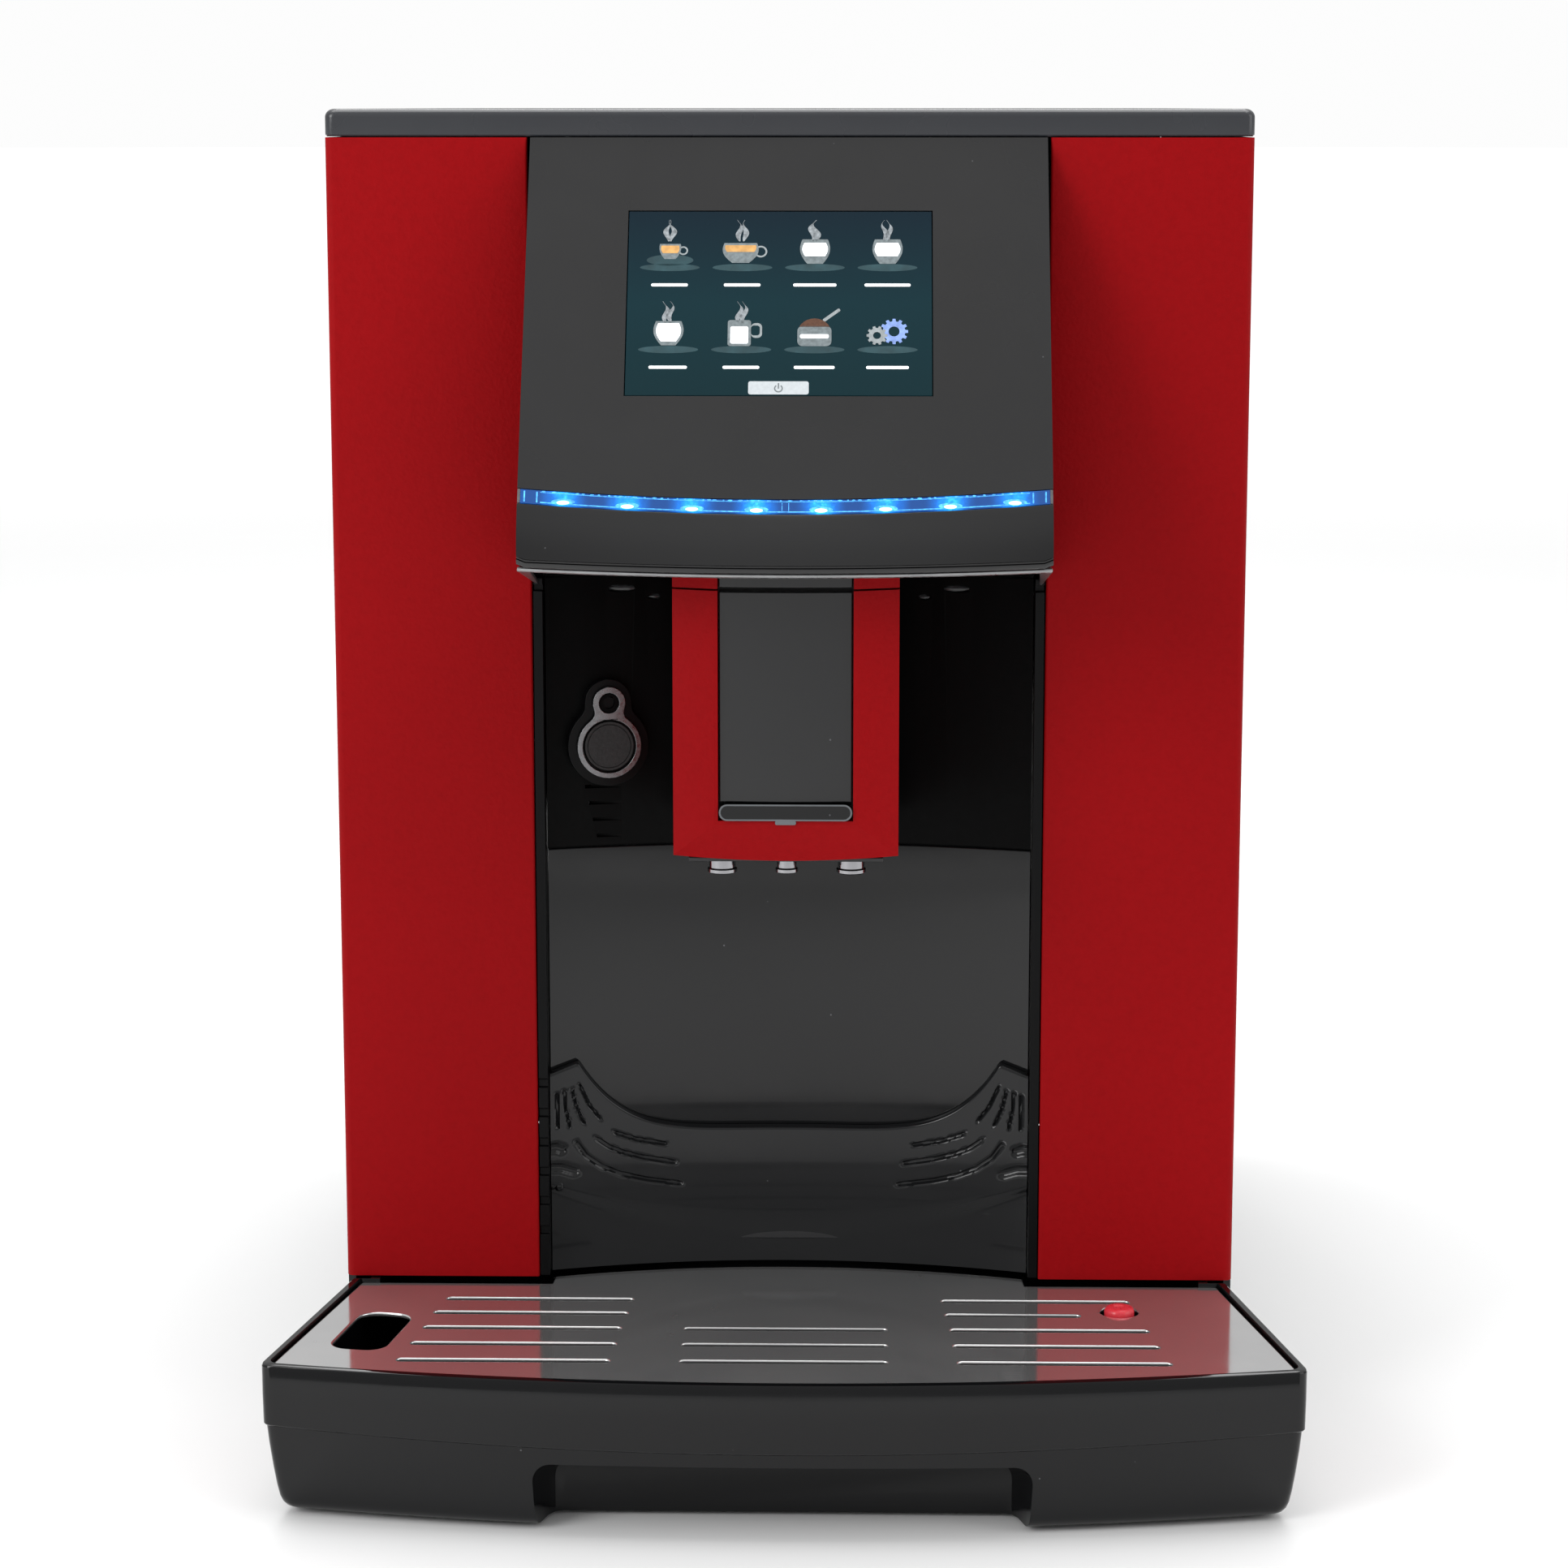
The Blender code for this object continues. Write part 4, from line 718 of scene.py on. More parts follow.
def make_top_cover():
    """The glossy cover: rounded rim, crisp openings, a grooved cup shelf and hinge notches."""
    rim, round_top = 3.0, 2.6
    steps = [(LID_LINE, 0.5), (LID_LINE + 0.5, 0.0)]
    for n in range(8):
        a = math.radians(90 * n / 7)
        steps.append((TOP - round_top + round_top * math.sin(a), round_top * (1 - math.cos(a))))
    loops = []
    for z, inset in steps:
        outline = rounded_rect(-BODY_HALF + inset, FRONT + inset, BODY_HALF - inset, REAR - inset, rim, 8)
        loops.append(at_height(outline, z))
    cover = loft("top_cover_moulding", loops, TOP_GLOSS)
    cutters = []
    for opening in (HOPPER, POWDER, TANK):
        cutters.append(plate("opening", [rounded_rect(*opening, 1.5)], 40.0, at=(0, 0, TOP)))
    for opening in (HOPPER, POWDER):
        for sign, x in ((-1, opening[0]), (1, opening[2])):
            y = opening[3] - LID_HINGE_INSET
            low, high = sorted((x - sign * 1.0, x + sign * 2.6))
            cutters.append(box("notch", (low, y - 1.8, LID_HINGE_Z - 1.8), (high, y + 1.8, TOP + 2)))
    cutters.append(cylinder("knob_hole", (*KNOB_CENTRE, TOP), KNOB_RADIUS + 0.8, 40.0))
    shelf = [rounded_rect(-130 + i, 82 + i, -16 - i, 216 - i, 8 - i) for i in (0.0, 1.4)]
    cutters.append(plate("shelf_line", shelf, 1.4, at=(0, 0, TOP)))
    for y in spread(98.0, 200.0, 7):
        cutters.append(plate("shelf_rib", [slot(-118.0, -28.0, y, 2.2, 5)], 1.0, at=(0, 0, TOP)))
    for n, (x, y) in enumerate(arc(*KNOB_CENTRE, 19.0, 150, 30, 6)):
        cutters.append(cylinder("mark", (x, y, TOP), 0.7 + 0.12 * n, 0.8, sides=16))
    cover = cut(cover, *cutters)
    shown(finish(cover, 0.35, 2, 50), "machine", "top_cover", slot_name="gloss_black")


def make_lid(name, opening, material, body, slot_name, stubs=True):
    """A flat lid with a finger scoop, a raised hinge bead and a fine border line."""
    x0, y0, x1, y1 = opening
    clear, rear_clear = 0.6, 0.9
    outline = rounded_rect(x0 + clear, y0 + clear, x1 - clear, y1 - rear_clear, 1.0)
    middle = (x0 + x1) / 2
    lid = plate(name + "_moulding", [outline], LID_THICKNESS, material,
                at=(0, 0, LID_TOP - LID_THICKNESS / 2))
    if stubs:
        hinge = (middle, y1 - LID_HINGE_INSET, LID_HINGE_Z)
        lid = join(lid, cylinder("stub", hinge, 1.2, x1 - x0 + 3.2, axis="X", sides=24))
    border = [rounded_rect(x0 + clear + i, y0 + clear + i, x1 - clear - i, y1 - rear_clear - i, 3.4 - i * 0.4)
              for i in (4.0, 4.7)]
    line = plate("line", border, 0.7, at=(0, 0, LID_TOP))
    scoop = cylinder("scoop", (middle, y0 + 1.0, LID_TOP), 9.0, 3.2, top=10.5)
    lid = cut(lid, line, scoop)
    shown(finish(lid, 0.4, 3, 50), body, name, slot_name=slot_name)


def make_knob():
    """The grind setting's knob: a fluted rim, a raised grip bar and a white pointer."""
    x, y = KNOB_CENTRE
    outline = []
    flutes, depth = 40, 0.22
    for n in range(flutes * 4):
        turn = 2 * math.pi * n / (flutes * 4)
        radius = KNOB_RADIUS - depth + depth * math.cos(turn * flutes)
        outline.append((x + radius * math.cos(turn), y + radius * math.sin(turn)))
    knob = plate("grind_knob_moulding", [outline], 7.6, GREY, at=(0, 0, TOP - 4.2))
    flats = [rounded_rect(x + s * 8.6 - 4.4, y - 12.5, x + s * 8.6 + 4.4, y + 12.5, 4.0) for s in (-1, 1)]
    knob = cut(knob, plate("flats", flats, 6.4, at=(0, 0, TOP - 0.4)))
    shaft = cylinder("shaft", (x, y, TOP - 18), 3.5, 24, sides=24)
    shown(finish(join(knob, shaft), 0.35, 3, 50), "knob", "grind_knob", slot_name="grey_plastic")
    mark = rounded_rect(x - 0.7, y + 3.0, x + 0.7, y + 12.0, 0.6)
    pointer = plate("grind_knob_pointer", [mark], 0.3, PRINT_WHITE, at=(0, 0, TOP - 0.32))
    shown(finish(pointer), "knob", slot_name="grey_plastic")


# ---------------------------------------------------------------- control fascia
def arc_band(start_extra, end_extra, x0, x1, count=41):
    """The outline between two of the fascia's parallel lower curves."""
    stations = spread(x0, x1, count)
    upper = [(x, -fascia_end(x, start_extra)) for x in stations]
    lower = [(x, -fascia_end(x, end_extra)) for x in reversed(stations)]
    return upper + lower


def make_fascia():
    """The sloping panel with its display, the light bar and the chin."""
    stations = spread(FASCIA_HALF, -FASCIA_HALF, 41)
    panel = [(-FASCIA_HALF, 0), (FASCIA_HALF, 0)] + [(x, -fascia_end(x)) for x in stations]
    x0, y0, x1, y1 = SCREEN
    hole = rectangle(x0 - GAP, y0 - GAP, x1 + GAP, y1 + GAP)
    face = plate("fascia_face", [panel, hole], WALL, FASCIA, **in_fascia_plane(0.0, WALL))
    shown(finish(face, 0.3, 3, 50), "machine", "fascia_panel", slot_name="fascia_grey")
    screen = plate("display_page", [rectangle(*SCREEN)], 6.0, DISPLAY, **in_fascia_plane(-0.1, 6.0))
    shown(finish(screen, 0.15, 2, 50), "machine", "touch_display", slot_name="display_glass")
    make_light_bar()
    make_chin()


def make_light_bar():
    """The lit bar: a clear curved strip, bright lines along and across it, lamps and end blocks."""
    reach = FASCIA_HALF - 1.0
    bar = plate("light_bar_lens", [arc_band(GAP, GAP + LIGHT_HEIGHT, -reach, reach)], WALL, LIGHT,
                **in_fascia_plane(0.0, WALL))
    shown(finish(bar, 0.35, 3, 50), "machine", "led_light_bar", slot_name="light_bar")
    inner = reach - 6.0
    lines = [arc_band(GAP + 0.5, GAP + 0.68, -inner, inner),
             arc_band(GAP + LIGHT_HEIGHT - 0.75, GAP + LIGHT_HEIGHT - 0.45, -inner, inner)]
    rng = random.Random(5)
    x = -inner + 1.0
    while x < inner - 1.0:
        down = fascia_end(x, GAP + 0.6)
        lines.append(ellipse(x, -down + 0.35, rng.uniform(0.25, 0.75), rng.uniform(0.12, 0.22), 12))
        x += rng.uniform(1.6, 3.6)
    for x in (-0.8, 1.2):
        lines.append(across_bar(x, 0.08, 0.9, 1.0))
    for sign in (-1, 1):
        for x in (reach - 1.2, reach - 5.0):
            lines.append(across_bar(sign * x, 0.22, 0.5, 0.5))
    spots, halos = [], []
    for n in range(LED_COUNT):
        x = LED_OFFSET + LED_PITCH * (n - (LED_COUNT - 1) / 2)
        y = -fascia_end(x, GAP + LIGHT_HEIGHT - 1.0)
        spots.append(ellipse(x, y, 1.9, 0.62, 24))
        halos.append(ellipse(x, y + 0.3, 3.6, 1.0, 24))
    for name, outlines, depth, material, out in (
        ("light_bar_edges", lines, 0.3, LIGHT_EDGE, 0.12),
        ("light_bar_lamps", spots, 0.3, LAMP, 0.22),
        ("light_bar_glow", halos, 0.2, LIGHT_EDGE, 0.08),
    ):
        flat = plate(name, outlines, depth, material, **in_fascia_plane(out, depth))
        shown(finish(flat), "machine", slot_name="light_bar")
    caps = [across_bar(sign * (FASCIA_HALF - 0.5), 0.42, 0.0, 0.0) for sign in (-1, 1)]
    ends = plate("light_bar_ends", caps, WALL, RING_METAL, **in_fascia_plane(0.0, WALL))
    shown(finish(ends, 0.1, 2, 50), "machine", slot_name="light_bar")


def across_bar(x, half, below, above):
    """A narrow upright on the light bar, short of its lower and upper edge by the sizes given."""
    top = -fascia_end(x) - GAP
    return rectangle(x - half, top - LIGHT_HEIGHT + below, x + half, top - above)


def make_chin():
    """The glossy curved trim below the light bar, the bright rim under it and a gusset at each end."""
    loops = []
    for x in spread(-FASCIA_HALF, FASCIA_HALF, 61):
        edge = (abs(x) - (FASCIA_HALF - 2.0)) / 2.0
        tuck = 0.9 * (1 - math.sqrt(max(1 - max(edge, 0.0) ** 2, 0.0)))
        top_y, top_z = on_fascia(fascia_end(x, 2 * GAP + LIGHT_HEIGHT))
        ledge_y, ledge_z = on_fascia(fascia_end(x, 2 * GAP + LIGHT_HEIGHT), -WALL - GAP)
        low_y, low_z = chin_edge(x)
        low_y, low_z = low_y + tuck * 0.4, low_z + tuck
        back = CHIN_BACK - 0.1
        profile = [(back, ledge_z), (ledge_y, ledge_z), (top_y + 0.25, top_z), (top_y - 0.1, top_z - 0.35)]
        for t in spread(0.1, 0.9, 7):
            y = top_y + (low_y - top_y) * t - 1.1 * math.sin(math.pi * t)
            profile.append((y, top_z - 0.35 + (low_z + 3.0 - top_z) * t))
        for inwards, up in ((0.0, 2.7), (0.7, 2.4), (0.7, 2.0), (0.0, 1.7)):
            profile.append((low_y + inwards, low_z + up))
        profile += [*arc(low_y + 1.2, low_z + 1.2, 1.2, 180, 270, 5), (back, low_z + 0.8)]
        loops.append([(x, y, z) for y, z in profile])
    chin = loft("fascia_chin_moulding", loops, CHIN_GLOSS)
    shown(finish(chin, 0.0, smooth=40), "machine", "fascia_chin", slot_name="gloss_black")

    loops = []
    for x in spread(-FASCIA_HALF + 0.2, FASCIA_HALF - 0.2, 61):
        y, z = chin_edge(x)
        y, z = y + 0.8, z - 0.1
        loops.append([(x, y, z), (x, y, z - 0.7), (x, y + 0.5, z - 1.1),
                      (x, y + 6.0, z - 1.1), (x, y + 6.0, z)])
    rim = loft("chin_rim", loops, SILVER)
    shown(finish(rim, 0.15, 2, 50), "machine", slot_name="cast_aluminium")
    outer, thick = FASCIA_HALF - 0.2, 1.2
    for name, sign in (("left", -1), ("right", 1)):
        loops = [[(sign * x, y, z + up) for x, up in ((outer, 0), (half, 0), (half, thick), (outer, thick))]
                 for y, z, half in ((-188.2, 291.1, 76.4), (-182.0, 290.0, 76.8), (-122.7, 279.3, 79.6))]
        gusset = loft(f"chin_gusset_{name}", loops, SILVER)
        shown(finish(gusset, 0.2, 2, 50), "machine", slot_name="cast_aluminium")


def chin_edge(x):
    """(y, z) of the chin's lower edge, which comes forward and down towards the middle."""
    rise = 1 - (x / FASCIA_HALF) ** 2
    return -189.4 - 6.0 * rise, 292.2 - 1.2 * rise


# ---------------------------------------------------------------- the display's pictures
def screen_place(column, row):
    """The middle of one of the eight pictures, in the fascia's own plane."""
    return SCREEN[0] + 12.9 + 22.3 * column, SCREEN[3] - 13.0 - 28.0 * row


def bowl(cx, cy, top, bottom, height, bulge, steps=10):
    """A cup's side view: wide rim, rounded belly."""
    right = []
    for n in range(steps + 1):
        t = n / steps
        half = top + (bottom - top) * t**2.2 + bulge * math.sin(math.pi * t)
        right.append((half, height / 2 - height * t))
    left = [(-x, y) for x, y in reversed(right)]
    return moved(right + left, cx, cy)


def steam(cx, cy, seed):
    """A curling wisp of steam above a cup."""
    rng = random.Random(seed)
    sway, phase, lean = rng.uniform(0.7, 1.1), rng.uniform(0, 6.28), rng.uniform(-0.5, 0.5)
    left, right = [], []
    for n in range(21):
        t = n / 20
        x = cx + lean * t + sway * math.sin(phase + 7.0 * t) * (0.4 + 0.6 * t)
        half = 0.8 * math.sin(math.pi * min(t * 1.15 + 0.06, 1.0)) + 0.05
        left.append((x - half, cy + 7.4 * t))
        right.append((x + half, cy + 7.4 * t))
    return [left + right[::-1]]


def printed(name, outlines, material, layer=0):
    """Flat printed shapes on the display; higher layers lie on lower ones."""
    picture = plate(name, outlines, 0.04, material, **in_fascia_plane(-0.055 + 0.045 * layer, 0.04))
    shown(finish(picture), "machine", slot_name="display_glass")


BOWLS = (  # group, column, row, then bowl()'s place from the picture's middle, its widths, height and bulge
    ("cup", 0, 0, (0.0, -0.9, 3.2, 1.7, 5.2, 0.3)),
    ("coffee", 0, 0, (0.0, -0.2, 2.7, 2.3, 2.6, 0.2)),
    ("cup", 1, 0, (-0.6, -1.4, 5.0, 2.6, 6.8, 0.9)),
    ("coffee", 1, 0, (-0.6, 0.1, 4.7, 4.2, 2.3, 0.2)),
    ("cup", 2, 0, (0.0, -0.9, 3.9, 2.4, 8.4, 1.0)),
    ("milk", 2, 0, (0.0, -0.2, 3.3, 3.1, 4.6, 0.7)),
    ("cup", 3, 0, (0.0, -0.9, 3.9, 2.4, 8.4, 1.0)),
    ("milk", 3, 0, (0.0, -0.2, 3.3, 3.1, 4.6, 0.7)),
    ("cup", 0, 1, (0.0, -0.9, 3.9, 2.2, 8.2, 1.0)),
    ("milk", 0, 1, (0.0, -0.6, 3.2, 2.3, 6.2, 0.8)),
)
BLOCKS = (  # group, column, row, then the corners from the picture's middle and their radius
    ("cup", 1, 1, (-4.2, -5.2, 2.9, 3.6, 0.8)),
    ("milk", 1, 1, (-3.4, -4.4, 2.1, 1.4, 0.6)),
    ("cup", 2, 1, (-5.2, -5.2, 5.2, 1.6, 1.6)),
    ("milk", 2, 1, (-4.4, -2.6, 4.4, -1.2, 0.6)),
)


def make_pictures():
    """Eight pictures in two rows, and the standby button under them."""
    groups = {name: [] for name in ("reflection", "handle", "steam", "cup", "coffee", "milk", "label")}
    for row in range(2):
        for column in range(4):
            x, y = screen_place(column, row)
            groups["reflection"].append([ellipse(x, y - 6.4, 9.2, 1.25)])
            if not (row == 1 and column >= 2):
                groups["steam"].append(steam(x + 0.5, y + 2.6, 10 * row + column))
                groups["steam"].append(steam(x - 0.9, y + 2.6, 10 * row + column + 50))
            groups["label"].append(label_bars(x, y - 12.4, 4 * row + column))
    for group, column, row, (dx, dy, *shape) in BOWLS:
        x, y = screen_place(column, row)
        groups[group].append([bowl(x + dx, y + dy, *shape)])
    for group, column, row, (x0, y0, x1, y1, radius) in BLOCKS:
        x, y = screen_place(column, row)
        groups[group].append([rounded_rect(x + x0, y + y0, x + x1, y + y1, radius)])
    x, y = screen_place(0, 0)
    groups["reflection"].append([ellipse(x, y - 3.9, 7.2, 1.9)])
    groups["handle"].append(ring(x + 4.0, y - 0.6, 1.5, 0.5, 24))
    x, y = screen_place(1, 0)
    groups["handle"].append(ring(x + 5.6, y - 0.9, 2.0, 0.55, 24))
    x, y = screen_place(1, 1)
    groups["handle"].append([rounded_rect(x + 2.9, y - 2.4, x + 6.3, y + 2.6, 1.4),
                             rounded_rect(x + 2.9, y - 1.6, x + 5.6, y + 1.8, 0.9)])
    x, y = screen_place(2, 1)
    spoon = rounded_rect(x + 3.0, y + 3.0, x + 9.4, y + 4.0, 0.4)
    groups["handle"].append([turned_about(spoon, x + 3, y + 3, 38)])
    powder = arc(x, y - 1.0, 5.2, 25, 155, 10) + [(x - 4.6, y + 1.3), (x + 4.6, y + 1.3)]
    printed("display_powder", [powder], PRINT_BROWN, 1)
    x, y = screen_place(3, 1)
    printed("display_gear_blue", gear_outline(x + 2.0, y - 0.2, 4.3, 12, 1.7), PRINT_BLUE, 1)
    printed("display_gear_grey", gear_outline(x - 3.2, y - 1.6, 3.2, 10, 1.2), PRINT_GREY, 2)
    for group, material, layer in (
        ("reflection", PRINT_DIM, 0), ("handle", PRINT_GREY, 0), ("steam", PRINT_STEAM, 1),
        ("cup", PRINT_PALE, 1), ("coffee", PRINT_AMBER, 2), ("milk", PRINT_WHITE, 2), ("label", PRINT_WHITE, 1),
    ):
        for number, outlines in enumerate(groups[group]):  # one piece each, so that overlaps don't cancel out
            printed(f"display_{group}_{number + 1}", outlines, material, layer)
    x, y = (SCREEN[0] + SCREEN[2]) / 2, SCREEN[1]
    printed("display_button", [rounded_rect(x - 9.2, y + 0.3, x + 9.2, y + 4.7, 0.7)], PRINT_BUTTON, 1)
    power = arc(x, y + 2.3, 1.35, 125, 415, 20) + arc(x, y + 2.3, 0.95, 415, 125, 20)
    stroke = rounded_rect(x - 0.2, y + 2.2, x + 0.2, y + 4.1, 0.15)
    printed("display_power_mark", [power, stroke], PRINT_DARK, 2)


def label_bars(x, y, seed):
    """One plain bar under each picture, in place of a word."""
    half = random.Random(seed + 3).uniform(5.0, 7.6)
    return [rounded_rect(x - half, y - 0.5, x + half, y + 0.5, 0.45)]


def gear_outline(x, y, radius, teeth, hole):
    """A little cog wheel with a round hole."""
    points = []
    for n in range(teeth):
        for part, reach in ((-0.3, 0.8), (-0.2, 1.0), (0.2, 1.0), (0.3, 0.8)):
            turn = 2 * math.pi * (n + part) / teeth
            points.append((x + radius * reach * math.cos(turn), y + radius * reach * math.sin(turn)))
    return [points, circle(x, y, hole, 20)]


PRINT_WHITE = lit("print_white", (0.80, 0.82, 0.84), 0.75, 0.08, 700.0)
PRINT_PALE = lit("print_pale", (0.16, 0.19, 0.20), 0.6, 0.35, 900.0)
PRINT_BUTTON = lit("print_button", (0.42, 0.45, 0.47), 0.6, 0.1, 900.0)
PRINT_STEAM = lit("print_steam", (0.28, 0.31, 0.33), 0.5, 0.6, 900.0)
PRINT_GREY = lit("print_grey", (0.26, 0.29, 0.30), 0.6, 0.3, 700.0)
PRINT_DIM = lit("print_dim", (0.018, 0.055, 0.066), 0.5, 0.4, 200.0)
PRINT_AMBER = lit("print_amber", (0.55, 0.30, 0.10), 0.7, 0.3, 500.0)
PRINT_BROWN = lit("print_brown", (0.085, 0.035, 0.018), 0.7, 0.4, 1500.0)
PRINT_BLUE = lit("print_blue", (0.20, 0.30, 0.62), 0.8, 0.4, 600.0)
PRINT_DARK = lit("print_dark", (0.16, 0.18, 0.19), 0.4, 0.2, 500.0)


# ---------------------------------------------------------------- cup bay
CUP_LAMPS = (  # x, z, half the width, half the height
    (-54.0, 276.3, 4.6, 1.0), (-43.6, 273.4, 1.9, 0.7), (54.0, 276.3, 4.6, 1.0), (43.6, 273.4, 1.9, 0.7),
)
LOUVRE_X = -56.0


def curved_strip(name, z0, z1, setback, material, lip=0.8):
    """A strip of the concave bay wall between two heights, with rolled upper and lower edges."""
    loops = []
    for x in spread(-BAY_HALF + 3.4, BAY_HALF - 3.4, 61):
        y = bay_wall_y(x) + setback
        profile = [(y + WALL, z0), *arc(y + lip, z0 + lip, lip, 270, 180, 4),
                   *arc(y + lip, z1 - lip, lip, 180, 90, 4), (y + WALL, z1)]
        loops.append([(x, a, b) for a, b in profile])
    return loft(name, loops, material)


def dome(name, x, z, half, high, base, rim, tip, sides, material):
    """A low dome on the bay's curved wall. Its base and its rim lie that far behind the wall's face."""
    wall, rise, steps = bay_wall_y(x), 0.9, 5
    levels = [(1.0, base)]
    for n in range(steps + 1):
        a = math.radians(90 * n / steps)
        levels.append((math.cos(a) + tip, rim - rise * math.sin(a)))
    loops = [[(x + half * size * p, wall + back, z + high * size * q) for p, q in circle(0, 0, 1, sides)]
             for size, back in levels]
    return finish(loft(name, loops, material))


def make_bay():
    """The two curved walls behind the cup, the lamps' lenses over it and the rail down each side."""
    # The upper liner's near-black material holds painted shade from the fascia's overhang.
    upper = curved_strip("bay_upper_liner", BAY_SEAM + 0.15, BAY_TOP - GAP, 0.0, SHADED_BAY_BLACK)
    cutters = []
    for n in range(4):
        z, half = 212.0 - 5.4 * n, 10.0 - 1.2 * n
        ends = [LOUVRE_X - half, LOUVRE_X + half]
        cutters.append(box("louvre", (ends[0], bay_wall_y(LOUVRE_X) - 4.0, z - 0.6),
                           (ends[1], bay_wall_y(LOUVRE_X) + 0.4, z + 0.6)))
    for x, z, half, high in CUP_LAMPS:
        seat = [ellipse(x, z, half + 0.3, high + 0.3)]
        cutters.append(plate("lens_seat", seat, 1.8, at=(0, bay_wall_y(x), 0), turn=(90, 0, 0)))
    upper = cut(upper, *cutters)
    shown(finish(upper, 0.3, 2, 50), "machine", "bay_upper_wall", slot_name="satin_black")
    for number, lamp in enumerate(CUP_LAMPS):
        lens = dome(f"cup_lamp_lens_{number + 1}", *lamp, 0.7, 0.6, 0.004, 32, SMOKED)
        shown(lens, "machine", slot_name="smoked_plastic")
    lower = curved_strip("bay_lower_liner", 90.0, BAY_SEAM - 0.15, WALL + GAP, WALL_GLOSS)
    shown(finish(lower), "machine", "bay_lower_wall", slot_name="gloss_black")

    front, back = FRONT + 0.6, -110.0
    low, high = corners("left_bay_rail")[0].z, BAY_TOP - GAP
    break_low, break_high = 276.8, 278.9
    broken = [(front, break_high), (front + 2.2, break_high), (front + 2.2, break_low), (front, break_low)]
    plain = [(back, low), (back, high), (front, high), *broken, (front, low)]
    notched = [(back, low), (back, high), (front, high), *broken]
    for z in spread(115.5, 66.0, 6):
        notched += [(front, z + 1.5), (front + 1.1, z + 1.2), (front + 1.1, z - 1.2), (front, z - 1.5)]
    notched.append((front, low))
    width = 3.1
    for side, sign, outline in (("left", -1, notched), ("right", 1, plain)):
        at = (sign * (BAY_HALF - width / 2), 0, 0)
        rail = plate(side + "_bay_trim", [outline], width, DEEP_GLOSS, at=at, turn=(90, 0, 90))
        shown(finish(rail, 0.25, 2, 50), "machine", side + "_bay_rail", slot_name="gloss_black")


MILK_CENTRE = (-59.2, 226.0)
MILK_SPACING = 14.0
MILK_TURN = math.degrees(math.atan(2 * BAY_CURVE * -MILK_CENTRE[0]))  # square to the curved wall


def on_milk_port(out):
    """A place on the milk port's axis, that far out from the bay wall."""
    x, z = MILK_CENTRE
    slant = math.radians(MILK_TURN)
    return (x + out * math.sin(slant), bay_wall_y(x) - out * math.cos(slant), z)


def make_milk_port():
    """The milk port beside the spout: a pad, a bright ring, a round release button and the inlet over it."""
    turn = (90, 0, MILK_TURN)
    pad = [keyhole(13.2, 7.6, MILK_SPACING, 5.0), circle(0, 0, 8.0, 40)]
    base = plate("milk_port_pad", pad, 4.0, DEEP_GLOSS, at=on_milk_port(2.7), turn=turn)
    shown(finish(base, 1.3, 4, 50), "machine", "milk_port_base", slot_name="satin_black")
    bezel = [keyhole(10.4, 5.3, MILK_SPACING, 3.0), circle(0, 0, 8.7, 48), circle(0, MILK_SPACING, 3.3, 32)]
    rim = plate("milk_port_bezel", bezel, 1.4, RING_METAL, at=on_milk_port(5.7), turn=turn)
    shown(finish(rim, 0.5, 3, 50), "machine", "milk_port_ring", slot_name="cast_aluminium")
    button = plate("milk_release_cap", [circle(0, 0, 7.9, 56)], 3.2, RUBBER, at=on_milk_port(4.4), turn=turn)
    dish = plate("dish", ring(0, 0, 7.2, 0.35, 56), 0.8, at=on_milk_port(6.0), turn=turn)
    shown(finish(cut(button, dish), 0.35, 3, 50), "milk_button", "milk_release_button", slot_name="rubber")
    mouth = ring(0, MILK_SPACING, 3.1, 1.2, 24)
    # The inlet ring is near black: painted shade, standing in for the dark of the hole it rings.
    inlet = plate("milk_inlet", mouth, 1.2, SHADED_BAY_BLACK, at=on_milk_port(5.3), turn=turn)
    shown(finish(inlet, 0.3, 3, 50), "machine", slot_name="rubber")


# ---------------------------------------------------------------- spout
NOZZLE_Y = -152.0
NOZZLES = (  # node, x, radius
    ("coffee_nozzle_left", -20.2, 4.2),
    ("coffee_nozzle_right", 20.2, 4.2),
    ("milk_nozzle", 0.0, 3.1),
)


def framed_box(name, z0, z1, material, frame_low):
    """A box whose front is a raised frame: its face slopes back from the window to the outer edge."""
    back, edge_y = SPOUT_BACK, SPOUT_FRONT + 4.5
    stations = spread(-SPOUT_HALF, SPOUT_HALF, 33)
    droop = 1.7 if frame_low else 0.0
    low = [(x, z0 - droop * (1 - (x / SPOUT_HALF) ** 2)) for x in stations]
    outer = low + [(x, z1) for x in reversed(stations)]
    half, inner_low = WINDOW_HALF + 1.2, z0 + (10.4 if frame_low else 0.0)
    face = [(x * half / SPOUT_HALF, inner_low) for x in stations]
    face += [(x * half / SPOUT_HALF, z1) for x in reversed(stations)]
    rings = [[(x, back, z) for x, z in outer], [(x, edge_y, z) for x, z in outer],
             [(x, SPOUT_FRONT, z) for x, z in face]]
    return loft(name, rings, material)


def window_section(z, back):
    """The smoked window in plan at one height: slightly crowned across, flat behind."""
    half = WINDOW_HALF - GAP
    crown = [(x, SPOUT_FRONT + 1.9 - 1.5 * math.cos(x / half * 1.25)) for x in spread(-half, half, 25)]
    return at_height([*crown, (half, back), (-half, back)], z)


def nozzle_holes(z, clear):
    return [cylinder("hole", (x, NOZZLE_Y, z), radius + clear, 20, sides=40) for _, x, radius in NOZZLES]


